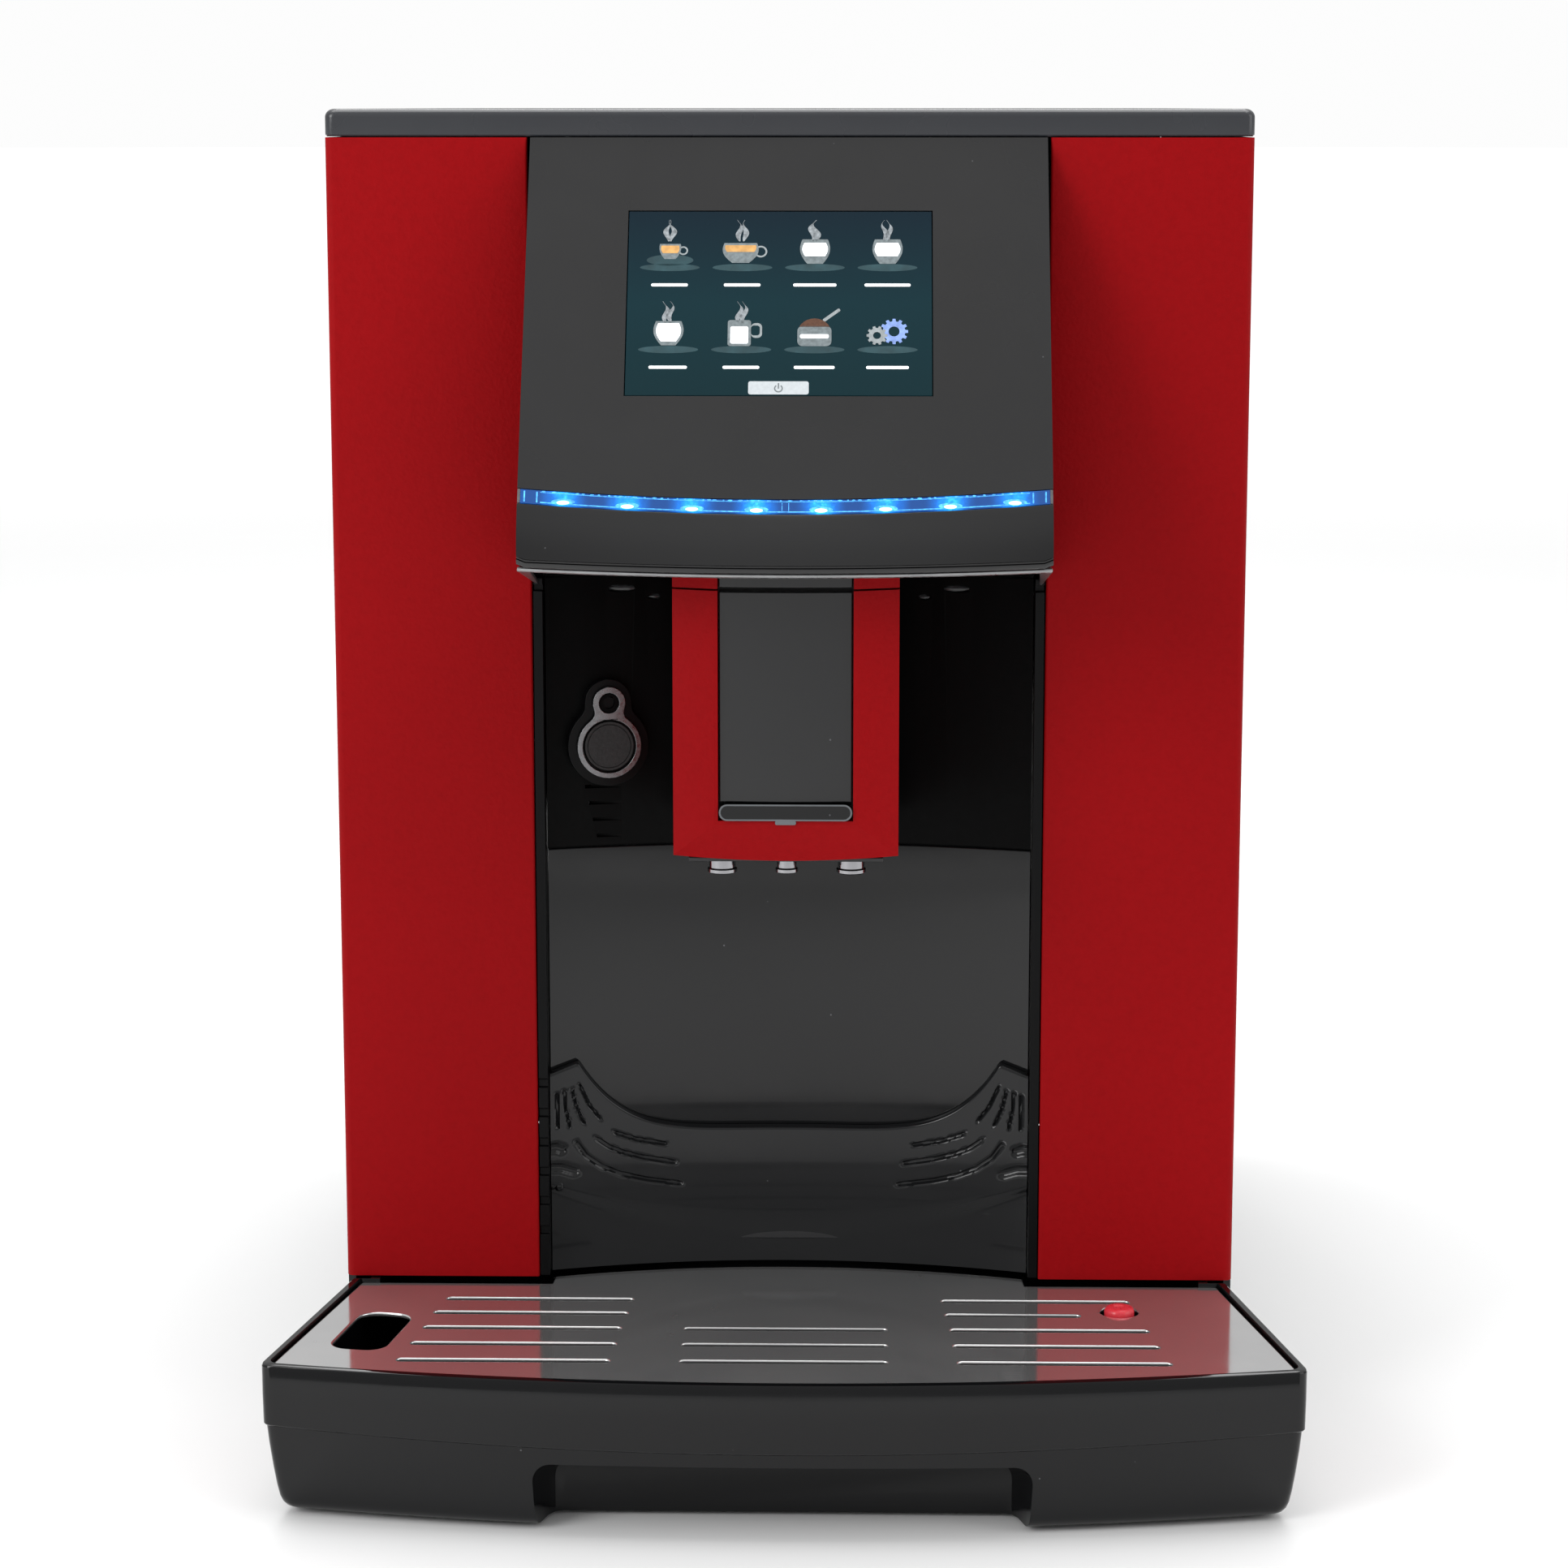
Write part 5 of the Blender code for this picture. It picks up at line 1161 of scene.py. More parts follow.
def make_spout():
    """The sliding red shell, and the fixed red collar above its seam."""
    inside = SPOUT_HALF - WALL
    front = SPOUT_FRONT + 6.8
    bottom = SHELL_LOW.z + 1.7
    below, above = 270, 330  # cutters reach past the collar
    shell = framed_box("spout_cover", bottom, SPOUT_SEAM, RED, True)
    hollow = box("hollow", (-inside, front, bottom + 3), (inside, -100, SPOUT_SEAM + 9))
    window_way = box("way", (-WINDOW_HALF, SPOUT_FRONT - 5, 212.0), (WINDOW_HALF, front + 5, SPOUT_SEAM + 9))
    shell = cut(shell, hollow, window_way, *nozzle_holes(bottom, 1.0))
    shown(finish(shell, 0.7, 4, 25), "spout", "spout_shell", slot_name="red_plastic")

    collar = framed_box("spout_neck", COLLAR_LOW.z, COLLAR_HIGH.z, RED, False)
    hollow = box("hollow", (-inside, front, below), (inside, SPOUT_BACK - 2.5, above))
    window_way = box("way", (-WINDOW_HALF, SPOUT_FRONT - 5, below),
                     (WINDOW_HALF, front + 5, COLLAR_HIGH.z - 10))
    carriage_way = box("carriage_way", (-15.6, -130, below), (15.6, -100, above))
    collar = cut(collar, hollow, window_way, carriage_way)
    shown(finish(collar, 0.6, 3, 25), "machine", "spout_collar", slot_name="red_plastic")

    sections = [window_section(z, front - 0.3) for z in (SPOUT_SEAM + 0.9, 301.6)]
    neck = loft("spout_neck_lens", sections, WINDOW)
    shown(finish(neck, 0.4, 3, 40), "machine", slot_name="gloss_black")
    make_window(front)
    make_nozzles(bottom)


def make_window(front):
    """The sliding part of the smoked window, and the bright-edged lip under it."""
    sections = [window_section(z, front + 0.2) for z in spread(217.6, SPOUT_SEAM - GAP, 9)]
    window = loft("spout_window_lens", sections, WINDOW)
    shown(finish(window, 0.5, 3, 40), "spout", "spout_window", slot_name="gloss_black")

    half, at, turn = WINDOW_HALF - GAP, (0, SPOUT_FRONT + 2.8, 0), (90, 0, 0)
    lip = [rounded_rect(-half + 0.5, 212.7, half - 0.5, 216.9, 2.0, 8)]
    bar = plate("spout_lip", lip, 7.6, GLOSS, at=at, turn=turn)
    shown(finish(bar, 0.7, 4, 50), "spout", slot_name="gloss_black")
    edge = [rounded_rect(-half, 212.2, half, 217.4, 2.5, 8),
            rounded_rect(-half + 0.55, 212.75, half - 0.55, 216.85, 2.0, 8)]
    trim = plate("spout_lip_trim", edge, 7.8, DARK_CHROME, at=at, turn=turn)
    shown(finish(trim, 0.18, 2, 50), "spout", slot_name="chrome")
    tab = plate("spout_lip_tab", [rounded_rect(-3.2, 210.9, 3.2, 212.3, 0.5)], 1.2, DARK_CHROME,
                at=(0, SPOUT_FRONT - 0.1, 0), turn=turn)
    shown(finish(tab, 0.2, 2, 50), "spout", slot_name="cast_aluminium")


def make_nozzles(bottom):
    """Three turned tubes with a bead at the mouth and a groove above it, and the plate round them."""
    top, low = bottom + 3, 192.0
    for name, x, radius in NOZZLES:
        bore = radius * 0.55
        profile = [(bore, top), (bore, low + 0.6), (bore + 0.4, low)]
        for wider, up in ((0.1, 0.0), (0.45, 0.35), (0.45, 1.3), (0.0, 1.8), (0.0, 4.6), (-0.25, 4.8),
                          (-0.25, 5.3), (0.0, 5.5)):
            profile.append((radius + wider, low + up))
        profile.append((radius, top))
        tube = turned_profile(name + "_tube", profile, (x, NOZZLE_Y), CHROME)
        shown(finish(tube, 0.0, smooth=30), "spout", name, slot_name="chrome")
    half = SPOUT_HALF - 4.6
    outlet = box("spout_outlet_plate", (-half, -166.0, bottom - 2.3), (half, -124.0, bottom - 0.9), SATIN)
    shown(finish(cut(outlet, *nozzle_holes(bottom, 0.7)), 0.4, 2, 50), "spout", slot_name="satin_black")


WINDOW = gloss_black_material("spout_window", (0.010, 0.0103, 0.011), 0.11, 0.2, Specular_IOR_Level=0.38)


# ---------------------------------------------------------------- drip tray
def tray_outline(inset=0.0, rear=TRAY_REAR_Y, corner=4.2, shrink=0.0):
    """The flared tray in plan, from its rear left round the front to its rear right."""
    steps, fillet = 48, 8
    half_front, half_rear = TRAY_HALF_FRONT - inset - shrink, TRAY_HALF_REAR - inset - shrink * 0.7
    corner_y = TRAY_CORNER_Y + inset + shrink
    bulge = TRAY_CORNER_Y - TRAY_FRONT_Y
    reach = half_front - corner
    front = [(x, corner_y - bulge * (1 - (x / half_front) ** 2)) for x in spread(-reach, reach, steps + 1)]
    side = (-half_front + 0.4, corner_y + corner * 0.9)
    sharp = (-half_front - 0.15, corner_y - bulge * 0.035)
    bend = []
    for n in range(1, fillet):
        t = n / fillet
        weights = (1 - t) ** 2, 2 * t * (1 - t), t * t
        bend.append(tuple(weights[0] * a + weights[1] * b + weights[2] * c
                          for a, b, c in zip(side, sharp, front[0])))
    left = [(-half_rear, rear), side, *bend]
    return left + front + [(-x, y) for x, y in reversed(left)]


def crease_z(x):
    """Height of the line where the tray's upright band meets its undercut, low in the middle."""
    return 30.6 - 2.8 * (1 - (x / TRAY_HALF_FRONT) ** 2)


TRAY_ROWS = (  # a share of the crease's height, a height added to it, and how far the outline is drawn in
    (0.0, TRAY_TOP, 0.7), (0.0, TRAY_TOP - 0.2, 0.25), (0.0, TRAY_TOP - 0.7, 0.0),
    (0.5, TRAY_TOP * 0.5, 0.0), (1.0, 0.5, 0.15), (1.0, 0.1, 0.4), (1.0, -0.2, 0.95),
    (0.75, 1.25, 1.5), (0.45, 2.75, 2.4), (0.2, 4.0, 3.3), (0.0, 6.4, 4.0), (0.0, 4.4, 4.7),
    (0.0, 2.9, 5.7), (0.0, 2.0, 6.9), (0.0, 1.6, 8.4),
)


def make_tray():
    """The tray: a rolled rim, an upright band, a crease that dips in the middle, and an undercut belly."""
    loops = [[(x, y, share * crease_z(x) + height) for x, y in tray_outline(shrink=shrink)]
             for share, height, shrink in TRAY_ROWS]
    tray = loft("drip_tray_moulding", loops, GLOSS)
    low, half, end, top = 9.6, 137.0, TRAY_HIGH.y, TRAY_TOP + 5
    tray = join(tray, box("rear", (-half, TRAY_REAR_Y - 2, low), (half, end, TRAY_TOP)))
    tray = cut(
        tray,
        tray_pocket("pocket", tray_outline(inset=2.4, rear=TRAY_REAR_Y - 0.1), TRAY_TOP - 2.8, top),
        tray_pocket("basin", tray_outline(inset=9.0, rear=TRAY_REAR_Y - 3, shrink=5.0), 25.0, top),
        tray_pocket("sump", tray_outline(inset=9.0, rear=TRAY_REAR_Y - 3, shrink=18.0), 5.2, top),
        box("gutter", (-half + 3, TRAY_REAR_Y - 6, low + 2.8), (half - 3, -99.5, top)),
        box("bin_well", (-half + 3, -96.5, low + 2.8), (half - 3, end - 3, top)),
        loft("grip", [grip_outline(y) for y in (-240.0, -222.0, -210.0, -207.0, -206.0)]),
    )
    shown(finish(tray, 0.5, 3, 40, smooth=30), "tray", "drip_tray", slot_name="gloss_black")


def tray_pocket(name, outline, z0, z1):
    return plate(name, [outline], z1 - z0, at=(0, 0, (z0 + z1) / 2))


def grip_outline(y):
    """The finger recess under the front, in section at one depth: narrower inwards, its rear edge round."""
    t = (y + 240.0) / 34.0
    tuck = 3.0 * (1 - math.sqrt(max(1 - max((y + 210.0) / 4.0, 0.0) ** 2, 0.0)))
    half, top = 81.0 - 10.0 * t - tuck, 25.5 - 5.5 * t - tuck
    return [(x, y, z) for x, z in rounded_rect(-half, -12.0, half, top, 6.0, 8)]


SLOT_ROWS = (  # y, inner end, outer end, and the end of the slot on the right where it differs
    (-141.0, 49.5, 110.4, None),
    (-155.5, 50.5, 113.0, 93.8),
    (-170.8, 51.8, 114.7, None),
    (-186.7, 52.4, 116.8, None),
    (-203.0, 53.5, 119.3, None),
)
MIDDLE_HALF = 32.2
FLOAT_CENTRE = (106.4, -151.0)


def make_grid():
    """The polished plate: pressed slots, a finger hole and a float hole."""
    rear_y, reach, thickness = TRAY_REAR_Y - 0.5, 77.4, 1.4
    outline = tray_outline(inset=3.1, rear=rear_y, corner=3.6)
    rear = [(x, bay_wall_y(x) - 0.9) for x in spread(reach - 0.4, 0.4 - reach, 41)]
    holes = []
    for n, (y, inner, outer, short) in enumerate(SLOT_ROWS):
        ends = [(-outer, -inner), (inner, short or outer)]
        if n >= 2:
            ends.append((-MIDDLE_HALF, MIDDLE_HALF))
        holes += [slot(x0, x1, y, 3.0) for x0, x1 in ends]
    finger = rounded_rect(-139.4, -193.4, -122.0, -156.6, 6.0)
    holes.append(turned_about(finger, -130.5, -177.5, -9.7))
    holes.append(circle(*FLOAT_CENTRE, 6.1, 40))
    outlines = [[*outline, (reach, rear_y), *rear, (-reach, rear_y)], *holes]
    grid = rounded_plate("drip_plate", outlines, thickness, 0.6, 6, STEEL, GRID_TOP - thickness / 2)
    shown(grid, "grid", "drip_grid", slot_name="polished_steel")


def make_float():
    """The red float: a hollow foot, a stem and a dished round tip."""
    low, high, radius, tip = FLOAT_LOW.z, FLOAT_HIGH.z, 4.8, 1.6
    profile = [(0, low), (9.2, low), (10.0, low + 0.8), (10.0, low + 7.2), (9.2, low + 8.0),
               (radius + 0.8, low + 8.0), (radius, low + 8.8), (radius, high - tip)]
    for a in (22, 45, 68, 90):
        turn = math.radians(a)
        profile.append((radius - tip + tip * math.cos(turn), high - tip + tip * math.sin(turn)))
    profile += [(2.0, high), (1.6, high - 0.5), (0, high - 0.5)]
    float_piece = turned_profile("tray_float_body", profile, FLOAT_CENTRE, FLOAT_RED)
    shown(finish(float_piece, smooth=30), "float", "tray_float", slot_name="float_red")


# ---------------------------------------------------------------- splash riser and grounds container
def riser_top(x):
    """The upper edge of the splash riser: a peak near each end and a droop between."""
    peak, peak_x = 120.8, 68.8
    if abs(x) >= peak_x:
        return peak - 3.0 * (abs(x) - peak_x) / 9.0
    t = (peak_x - abs(x)) / peak_x
    return peak - 24.0 * (1 - (1 - t) ** 5)


def band_edges(x):
    """The winged panel's lower edge, above and below its rounded step."""
    t = 1 - (abs(x) / 78.0) ** 2
    return 80.8 - 13.0 * t, 76.6 - 21.0 * t


GROOVES = (  # half the width, then points (x, z) on one side; the other side mirrors them
    (0.55, ((76.0, 110.5), (75.8, 99.5))),
    (0.55, ((73.6, 111.3), (73.2, 105.0), (72.0, 99.3))),
    (0.55, ((71.2, 111.8), (69.9, 106.0), (67.4, 100.2))),
    (0.55, ((68.5, 112.9), (65.7, 106.3), (62.1, 101.2))),
    (0.75, ((57.3, 96.2), (50.4, 93.6), (41.0, 91.6))),
    (0.80, ((63.2, 94.4), (59.5, 91.6), (54.5, 89.3), (48.0, 87.3), (38.0, 85.2))),
    (0.80, ((69.8, 93.6), (66.6, 88.8), (61.5, 84.9), (55.0, 82.0), (47.5, 79.9), (36.0, 77.9))),
    (1.70, ((80.0, 92.0), (76.4, 92.4), (74.6, 91.6))),
    (1.55, ((80.0, 85.8), (74.6, 85.4), (70.4, 83.8))),
)


def groove_depth(x, z):
    """How deep the panel is pressed in at a point, from 0 to 1."""
    deepest = 0.0
    for half, points in GROOVES:
        for (x0, z0), (x1, z1) in zip(points, points[1:]):
            length = (x1 - x0) ** 2 + (z1 - z0) ** 2
            t = min(max(((x - x0) * (x1 - x0) + (z - z0) * (z1 - z0)) / length, 0.0), 1.0)
            away = math.hypot(x - x0 - t * (x1 - x0), z - z0 - t * (z1 - z0))
            deepest = max(deepest, 1.0 - smoothstep(half * 0.35, half * 1.25, away))
    return deepest


def make_riser():
    """The glossy splash panel with its pressed pattern, and the grounds container behind it."""
    base, half, columns, rows = TRAY_TOP + 0.4, 78.0, 261, 121
    proud, press, sunk, roll = 1.9, 1.1, 1.2, 1.2  # the lifted plate passes 0.9 in front of the wall's curve
    lines = []
    for x in spread(-half, half, columns):
        top = riser_top(x)
        upper, lower = band_edges(x)
        line = []
        for z in spread(base, top, rows):
            out = proud * smoothstep(lower, upper, z) - sunk
            out -= press * groove_depth(abs(x), z)
            out -= roll * (1 - math.sqrt(max(1 - max((z - top + roll) / roll, 0.0) ** 2, 0.0)))
            line.append((x, bay_wall_y(x) - out, z))
        line += [(x, bay_wall_y(x) + WALL, top), (x, bay_wall_y(x) + WALL, base)]
        lines.append(line)
    shown(finish(loft("splash_riser", lines, RISER_GLOSS), smooth=50), "tray", slot_name="gloss_black")
    stud = dome("splash_riser_stud", -75.6, 79.2, 1.7, 1.7, 1.6, 0.0, 0.01 / 1.7, 24, GLOSS)
    shown(stud, "tray", slot_name="gloss_black")

    low, high = BIN_BOTTOM, 87.0
    wide = rounded_rect(-60, -94, 60, 30, 7)
    narrow = rounded_rect(-58.5, -92.5, 58.5, 28.5, 6)
    levels = [at_height(narrow, low), at_height(wide, low + 1.5), at_height(wide, high)]
    outer = loft("grounds_bin", levels, SATIN)
    bridge = box("bridge", (-30, bay_wall_y(30) + 2.4, 58.0), (30, -93, high))
    inside = rounded_rect(-57.5, -91.5, 57.5, 27.5, 5)
    hollow = loft("hollow", [at_height(inside, z) for z in (low + 2.5, 96.0)])
    grounds = cut(join(outer, bridge), hollow)
    shown(finish(grounds, 0.5, 3, 50), "tray", "grounds_container", slot_name="gloss_black")


RISER_GLOSS = gloss_black_material("riser_gloss", (0.009, 0.0093, 0.010), 0.10, 0.3, Specular_IOR_Level=0.24)


# ---------------------------------------------------------------- side and rear covers
DOOR_GAP = 0.7
DOOR_LOW, DOOR_HIGH = corners("service_door")
DOOR = (DOOR_LOW.y - DOOR_GAP, DOOR_LOW.z - DOOR_GAP, DOOR_HIGH.y + DOOR_GAP, DOOR_HIGH.z + DOOR_GAP)
DOOR_HINGE = next(j for j in frame["record"]["behaviour"]["joints"] if j["name"] == "door_hinge")
DOOR_AXIS = (DOOR_HINGE["pos_m"][0] / MM, DOOR_HINGE["pos_m"][1] / MM)
SOCKET = (-112.0, 24.0, -84.0, 44.0)
ROCKER = (-72.0, 27.0, -51.0, 41.0)
SIDE_RETURN_Y = -107.0
SIDE_FOOT_Y = -118.5  # below the tray's top the side covers reach further forward
SCREWS = [(x, z) for x in (-142.0, 142.0) for z in (40.0, 210.0, 395.0)]


def side_cutters(sign):
    """Pressed lines and louvres on a side cover's outer face."""
    cutters = []
    depth, face = 0.5, sign * BODY_HALF
    low, high = sorted((face - sign * depth, face + sign * 4.0))
    for z in spread(86.0, 110.0, 5):
        cutters.append(box("groove", (low, 176.0, z - 1.3), (high, 216.0, z + 1.3)))
    for z in spread(352.0, 388.0, 7):
        cutters.append(box("groove", (low, 150.0, z - 1.3), (high, 212.0, z + 1.3)))
    cutters.append(box("line", (low, -80.0, 406.0), (high, 215.0, 406.8)))
    return cutters


def make_covers():
    """Both side covers with their pressed lines and louvres, and the rear cover with vents and screws."""
    outer = [(SIDE_FOOT_Y, SIDE_LOW.z), (REAR, SIDE_LOW.z), (REAR, SIDE_HIGH.z),
             (SIDE_RETURN_Y + GAP, SIDE_HIGH.z), (SIDE_RETURN_Y + GAP, TRAY_TOP + 0.1),
             (SIDE_FOOT_Y, TRAY_TOP + 0.1)]
    for side, sign, outlines in (("left", -1, [outer]), ("right", 1, [outer, rounded_rect(*DOOR, 1.0, 3)])):
        at = (sign * (BODY_HALF - WALL / 2), 0, 0)
        cover = plate(side + "_side_moulding", outlines, WALL, CASE_BLACK, at=at, turn=(90, 0, 90))
        cover = cut(cover, *side_cutters(sign))
        shown(finish(cover, 0.6, 3, 50), "machine", side + "_side_cover", slot_name="satin_black")

    x, upright = BODY_HALF - WALL - GAP, (90, 0, 0)
    outline = rectangle(-x, corners("rear_cover")[0].z, x, LID_LINE - GAP)
    vents = [slot(-60.0, 60.0, z, 3.4) for z in spread(120.0, 190.0, 8)]
    holes = [rectangle(*SOCKET), rectangle(*ROCKER)]
    rear = plate("rear_moulding", [outline, *vents, *holes], WALL, CASE_BLACK, at=(0, REAR - WALL / 2, 0),
                 turn=upright)
    panel = [rounded_rect(-130 + i, 60 + i, 130 - i, 400 - i, 10 - i, 8) for i in (0.0, 1.2)]
    line = plate("line", panel, 1.0, at=(0, REAR, 0), turn=upright)
    recess = plate("recess", [rounded_rect(-42, 228, 42, 262, 3)], 1.4, at=(0, REAR, 0), turn=upright)
    dishes = [cylinder("dish", (x, REAR, z), 5.0, 2.0, axis="Y", sides=32) for x, z in SCREWS]
    rear = cut(rear, line, recess, *dishes)
    shown(finish(rear, 0.4, 2, 50), "machine", "rear_cover", slot_name="satin_black")
    for n, (x, z) in enumerate(SCREWS):
        head = cylinder(f"rear_screw_{n + 1}", (x, REAR - 0.75, z), 3.4, 0.9, BURR_STEEL, axis="Y", sides=32)
        star = []
        for i in range(12):
            radius, a = (1.9, 0.9)[i % 2], math.radians(30 * i)
            star.append((x + radius * math.cos(a), z + radius * math.sin(a)))
        head = cut(head, plate("star", [star], 1.2, at=(0, REAR - 0.3, 0), turn=upright))
        shown(finish(head, 0.12, 2, 50), "machine", slot_name="cast_aluminium")


def make_service_door():
    """The flush door over the brew group: a leaf with a fine border, a finger pull and its hinge barrel."""
    axis_x, axis_y = DOOR_AXIS
    near, low, high = DOOR_LOW.y, DOOR_LOW.z, DOOR_HIGH.z
    inner_x, outer_x, barrel = BODY_HALF - 2.2, BODY_HALF - 0.2, 1.9
    begin = math.degrees(math.acos((outer_x - axis_x) / barrel))
    end = 360 - math.degrees(math.acos((inner_x - axis_x) / barrel))
    leaf = [(inner_x, near), (outer_x, near), *arc(axis_x, axis_y, barrel, begin, end, 28)]
    door = plate("service_door_leaf", [leaf], high - low, CASE_BLACK, at=(0, 0, (low + high) / 2))
    grip_y = near - DOOR_GAP + 4
    grip = box("grip", (BODY_HALF - 1.2, grip_y, 180), (BODY_HALF + 5, grip_y + 8, 216))
    border = [rounded_rect(near + i, low + i, axis_y - i, high - i, 3.0) for i in (5.0, 5.9)]
    line = plate("line", border, 0.7, at=(outer_x, 0, 0), turn=(90, 0, 90))
    door = cut(door, grip, line)
    shown(finish(door, 0.35, 3, 50), "door", "service_door", slot_name="satin_black")


def make_base():
    """Four rubber feet and the base pan with its air slots."""
    for side, x in (("left", -118.0), ("right", 118.0)):
        for end, y in (("front", -96.0), ("rear", 200.0)):
            name = f"foot_{end}_{side}"
            low, high = corners(name)
            wide = (high.x - low.x) / 2
            profile = [(0, low.z), (wide - 3.4, low.z), (wide - 2.4, low.z + 0.9), (wide - 2.2, low.z + 2.2),
                       (wide - 0.9, high.z - 1.2), (wide - 0.1, high.z - 0.6), (wide - 0.1, high.z),
                       (0, high.z)]
            foot = turned_profile(name + "_pad", profile, (x, y), RUBBER)
            shown(finish(foot, 0.0, smooth=30), "machine", name, slot_name="rubber")
    low, high = corners("base_pan")
    inset = 0.1
    outline = rounded_rect(low.x + inset, low.y + inset, high.x - inset, high.y - inset, 2.0, 4)
    pan = plate("base_pan_moulding", [outline], high.z - low.z, CASE_BLACK, at=(0, 0, (low.z + high.z) / 2))
    slots = [plate("vent", [slot(-90.0, 90.0, y, 4.0)], 10.0, at=(0, 0, low.z))
             for y in spread(30.0, 120.0, 7)]
    shown(finish(cut(pan, *slots), 0.5, 3, 50), "machine", "base_pan", slot_name="satin_black")


# ---------------------------------------------------------------- hopper, chute and tank
def hollow_loft(name, loops, wall, material, caps):
    """A thin-walled lofted shell, open where caps says so."""
    shell = loft(name + "_skin", loops, material, caps=caps)
    solid = shell.modifiers.new("wall", "SOLIDIFY")
    solid.thickness = wall * MM
    solid.offset = -1.0
    solid.use_even_offset = True
    return add(as_mesh(shell), name, material)


def square_ring(centre, half_x, half_y, radius, z):
    x, y = centre
    return at_height(rounded_rect(x - half_x, y - half_y, x + half_x, y + half_y, radius, 8), z)


def middle_of(opening):
    return ((opening[0] + opening[2]) / 2, (opening[1] + opening[3]) / 2)


def half_of(opening, clear):
    return (opening[2] - opening[0]) / 2 - clear, (opening[3] - opening[1]) / 2 - clear


RIM_Z = 422.6
GRINDER = (-50.0, 1.0)
TANK_FLOOR = 232.0


def make_containers():
    """The bean hopper, the ground-coffee chute and the water tank, all thin-walled."""
    centre, (hx, hy) = middle_of(HOPPER), half_of(HOPPER, 0.6)
    rings = [square_ring(centre, hx, hy, 6, RIM_Z), square_ring(centre, hx, hy, 6, 393.5),
             square_ring(centre, hx - 0.6, hy - 0.6, 6, 392.0), square_ring(GRINDER, 19.6, 19.6, 14, 354.4),
             square_ring(GRINDER, 19, 19, 14, 353.5)]
    hopper = hollow_loft("bean_hopper_moulding", rings, 2.2, SMOKED, (False, False))
    shown(finish(hopper, 0.3, 2, 50), "machine", "bean_hopper", slot_name="smoked_plastic")
    centre, (hx, hy) = middle_of(POWDER), half_of(POWDER, 0.6)
    rings = [square_ring(centre, hx, hy, 5, RIM_Z), square_ring(centre, hx, hy, 5, 409.0),
             square_ring(centre, hx - 0.7, hy - 0.5, 5, 407.4),
             square_ring((centre[0], -20.0), 11, 11, 8, 330.0)]
    chute = hollow_loft("powder_chute_moulding", rings, 2.0, SATIN, (False, False))
    shown(finish(chute, 0.3, 2, 50), "machine", "powder_chute", slot_name="satin_black")

    centre, (hx, hy) = middle_of(TANK), half_of(TANK, 0.7)
    bend = 4.0
    levels = [(RIM_Z, 0.0, 10), (418.0, 0.05, 10), (416.8, 0.05, 10), (415.6, 0.55, 10),
              (TANK_FLOOR + bend, 1.9, 10)]
    for n in range(1, 6):
        a = math.radians(90 * n / 5)
        levels.append((TANK_FLOOR + bend - bend * math.sin(a), 2 + bend * (1 - math.cos(a)), 9))
    rings = [square_ring(centre, hx - inset, hy - inset, radius, z) for z, inset, radius in levels]
    tank = hollow_loft("water_tank_moulding", rings, 2.2, SMOKED, (False, True))
    shown(finish(tank, 0.25, 2, 60), "tank", "water_tank", slot_name="smoked_plastic")
    x = TANK[0] + 12.3
    marks = [rectangle(x, z - 0.4, x + 14.0, z + 0.4) for z in spread(262.0, 382.0, 4)]
    lines = plate("water_level_lines", marks, 0.3, PRINT_WHITE, at=(0, TANK[1] + 2.35, 0), turn=(90, 0, 0))
    shown(finish(lines), "tank", slot_name="smoked_plastic")


# ---------------------------------------------------------------- the inside, refined from the CAD solids
def refined(node, body, material, slot_name, bevel):
    """A copy of a CAD solid with rounded edges and smoothly shaded curves, shown in its place."""
    mesh = NODES[node].data.copy()
    bm = bmesh.new()
    bm.from_mesh(mesh)
    bmesh.ops.remove_doubles(bm, verts=bm.verts, dist=MERGE / 2)
    bmesh.ops.dissolve_limit(bm, angle_limit=math.radians(0.6), verts=bm.verts, edges=bm.edges)
    bmesh.ops.recalc_face_normals(bm, faces=bm.faces)
    bm.to_mesh(mesh)
    bm.free()
    obj = add(bpy.data.objects.new(node + "_detail", mesh), node + "_detail", material)
    shown(finish(obj, bevel, 2), body, node, slot_name=slot_name)


def make_inside():
    """Every part that keeps its CAD solid's shape."""
    for node, body, material, slot_name, bevel in (
        ("fascia_housing", "machine", GLOSS, "satin_black", 0.7),
        ("spout_guide_rail", "machine", STEEL, "polished_steel", 0.3),
        ("grinder_body", "machine", GREY, "grey_plastic", 0.4),
        ("grinder_motor", "machine", ALUMINIUM, "cast_aluminium", 0.3),
        ("lower_burr", "burr", BURR_STEEL, "cast_aluminium", 0.0),
        ("brew_frame", "machine", GREY, "grey_plastic", 0.4),
        ("brew_gear", "gear", HOSE, "grey_plastic", 0.0),
        ("brew_motor", "machine", ALUMINIUM, "cast_aluminium", 0.3),
        ("brew_pinion", "pinion", BURR_STEEL, "cast_aluminium", 0.0),
        ("brew_piston", "piston", SATIN, "satin_black", 0.2),
        ("coffee_boiler", "machine", ALUMINIUM, "cast_aluminium", 0.4),
        ("mainboard", "machine", BOARD, "circuit_board", 0.15),
        ("tank_shelf", "machine", GREY, "grey_plastic", 0.4),
        ("water_pump", "machine", ALUMINIUM, "cast_aluminium", 0.3),
        ("brew_hose", "machine", HOSE, "silicone_hose", 0.0),
        ("pump_hose", "machine", HOSE, "silicone_hose", 0.0),
        ("tank_hose", "machine", HOSE, "silicone_hose", 0.0),
        ("power_socket", "machine", SATIN, "satin_black", 0.25),
        ("power_rocker", "rocker", RUBBER, "rubber", 0.3),
        ("spout_core", "spout", SATIN, "satin_black", 0.5),
    ):
        refined(node, body, material, slot_name, bevel)


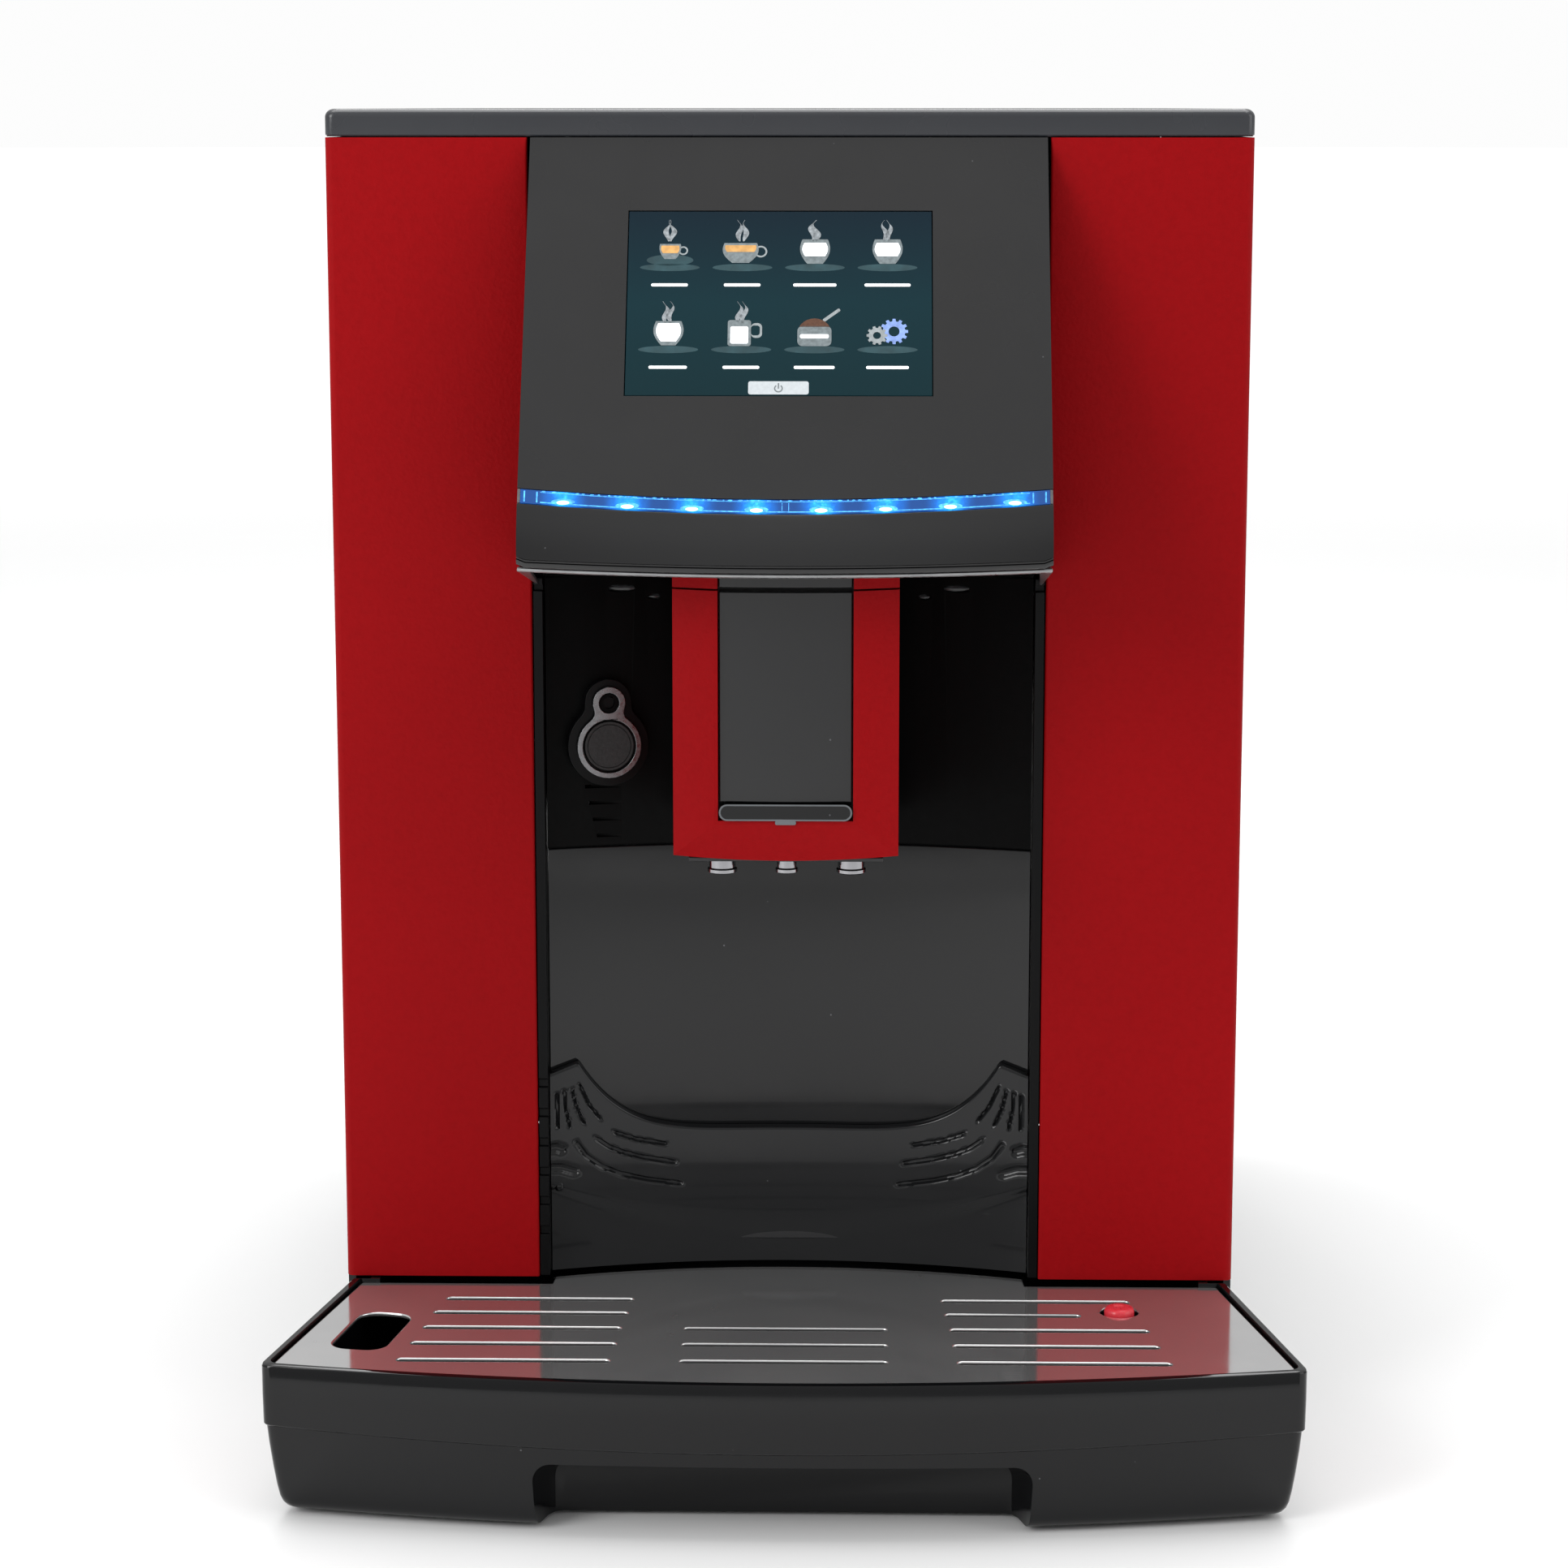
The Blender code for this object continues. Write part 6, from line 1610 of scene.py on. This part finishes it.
# ---------------------------------------------------------------- the room
def make_room():
    """A plain pale floor that glows a little far off, painted light that fades it into the world, and a plain soft
    world.
    """
    floor_mesh = plate("studio_floor", [circle(0, 0, 40000.0, 96)], 2.0, at=(0, 0, -1.0))
    m = Nodes("studio_floor", Roughness=0.55, Specular_IOR_Level=0.25)
    m.link(m.mix(m.noise(0.8, 2.0), (0.90, 0.90, 0.90), (0.93, 0.93, 0.93)), "Base Color")
    # Painted light: the floor glows more the further it lies from the machine, as if lit there.
    reach = m.node("ShaderNodeVectorMath", {"operation": "LENGTH"}, i0=m.place()).outputs["Value"]
    far = m.node("ShaderNodeMapRange", {"interpolation_type": "SMOOTHSTEP"}, Value=reach, From_Min=2.0,
                 From_Max=4.4, To_Min=0.0, To_Max=0.5)
    m.link(far.outputs["Result"], "Emission Strength")
    floor_mesh.data.materials.append(m.material)

    world = bpy.data.worlds.new("studio")
    bpy.context.scene.world = world
    world.use_nodes = True
    tree = world.node_tree
    tree.nodes.clear()
    place, split, rise, seen, room, path, choose, out = (tree.nodes.new("ShaderNode" + kind) for kind in (
        "TexCoord", "SeparateXYZ", "MapRange", "Background", "Background", "LightPath", "MixShader",
        "OutputWorld"))
    for socket, value in (
        ("From Min", -0.05), ("From Max", 0.9), ("To Min", WORLD_LOW), ("To Max", WORLD_HIGH),
    ):
        rise.inputs[socket].default_value = value
    seen.inputs["Color"].default_value = (0.98, 0.98, 0.98, 1)
    for output, socket in (
        (place.outputs["Generated"], split.inputs[0]),
        (split.outputs["Z"], rise.inputs["Value"]),
        (rise.outputs["Result"], room.inputs["Strength"]),
        (path.outputs["Is Camera Ray"], choose.inputs[0]),
        (room.outputs[0], choose.inputs[1]),
        (seen.outputs[0], choose.inputs[2]),
        (choose.outputs[0], out.inputs["Surface"]),
    ):
        tree.links.new(output, socket)


WORLD_LOW, WORLD_HIGH = 0.55, 1.0  # the world's strength below the horizon and overhead
SOFTBOXES = (  # name, place, width, height, watts; each one faces the machine
    ("key_left", (-1.7, -1.7, 1.3), 1.0, 1.2, 24.0),
    ("side_right", (2.0, -0.9, 1.1), 1.4, 1.4, 9.0),
    ("overhead", (0.0, 0.3, 2.2), 2.0, 1.6, 30.0),
    ("rear_fill", (0.0, 2.2, 2.4), 1.6, 1.0, 20.0),
)


def make_lights():
    for name, place, width, height, watts in SOFTBOXES:
        light = bpy.data.lights.new(name, "AREA")
        light.shape = "RECTANGLE"
        light.size, light.size_y = width, height
        light.energy = watts
        obj = bpy.data.objects.new(name, light)
        bpy.context.scene.collection.objects.link(obj)
        obj.location = place
        aim = Vector((0.0, 0.0, 0.2)) - Vector(place)
        obj.rotation_euler = aim.to_track_quat("-Z", "Y").to_euler()


def make_camera():
    """The photograph's viewpoint and field of view."""
    camera = bpy.data.cameras.new("camera")
    camera.lens = 88.39
    camera.sensor_width = 36.0
    camera.clip_end = 200.0
    obj = bpy.data.objects.new("camera", camera)
    bpy.context.scene.collection.objects.link(obj)
    obj.location = (0.022572, -1.33697, 0.428815)
    obj.rotation_euler = (math.radians(90 - 9.987), 0, math.radians(1.133))
    bpy.context.scene.camera = obj
    bpy.context.scene.view_settings.view_transform = "Standard"


def main():
    make_camera()
    make_casing()
    make_covers()
    make_service_door()
    make_base()
    make_top_cover()
    make_lid("hopper_lid", HOPPER, GLOSS, "bean_lid", "gloss_black")
    make_lid("powder_lid", POWDER, GLOSS, "powder_flap", "gloss_black")
    make_lid("tank_lid", TANK, SMOKED, "tank_flap", "smoked_plastic", stubs=False)
    make_knob()
    make_fascia()
    make_pictures()
    make_spout()
    make_bay()
    make_milk_port()
    make_tray()
    make_grid()
    make_float()
    make_riser()
    make_containers()
    make_inside()
    make_room()
    make_lights()


main()
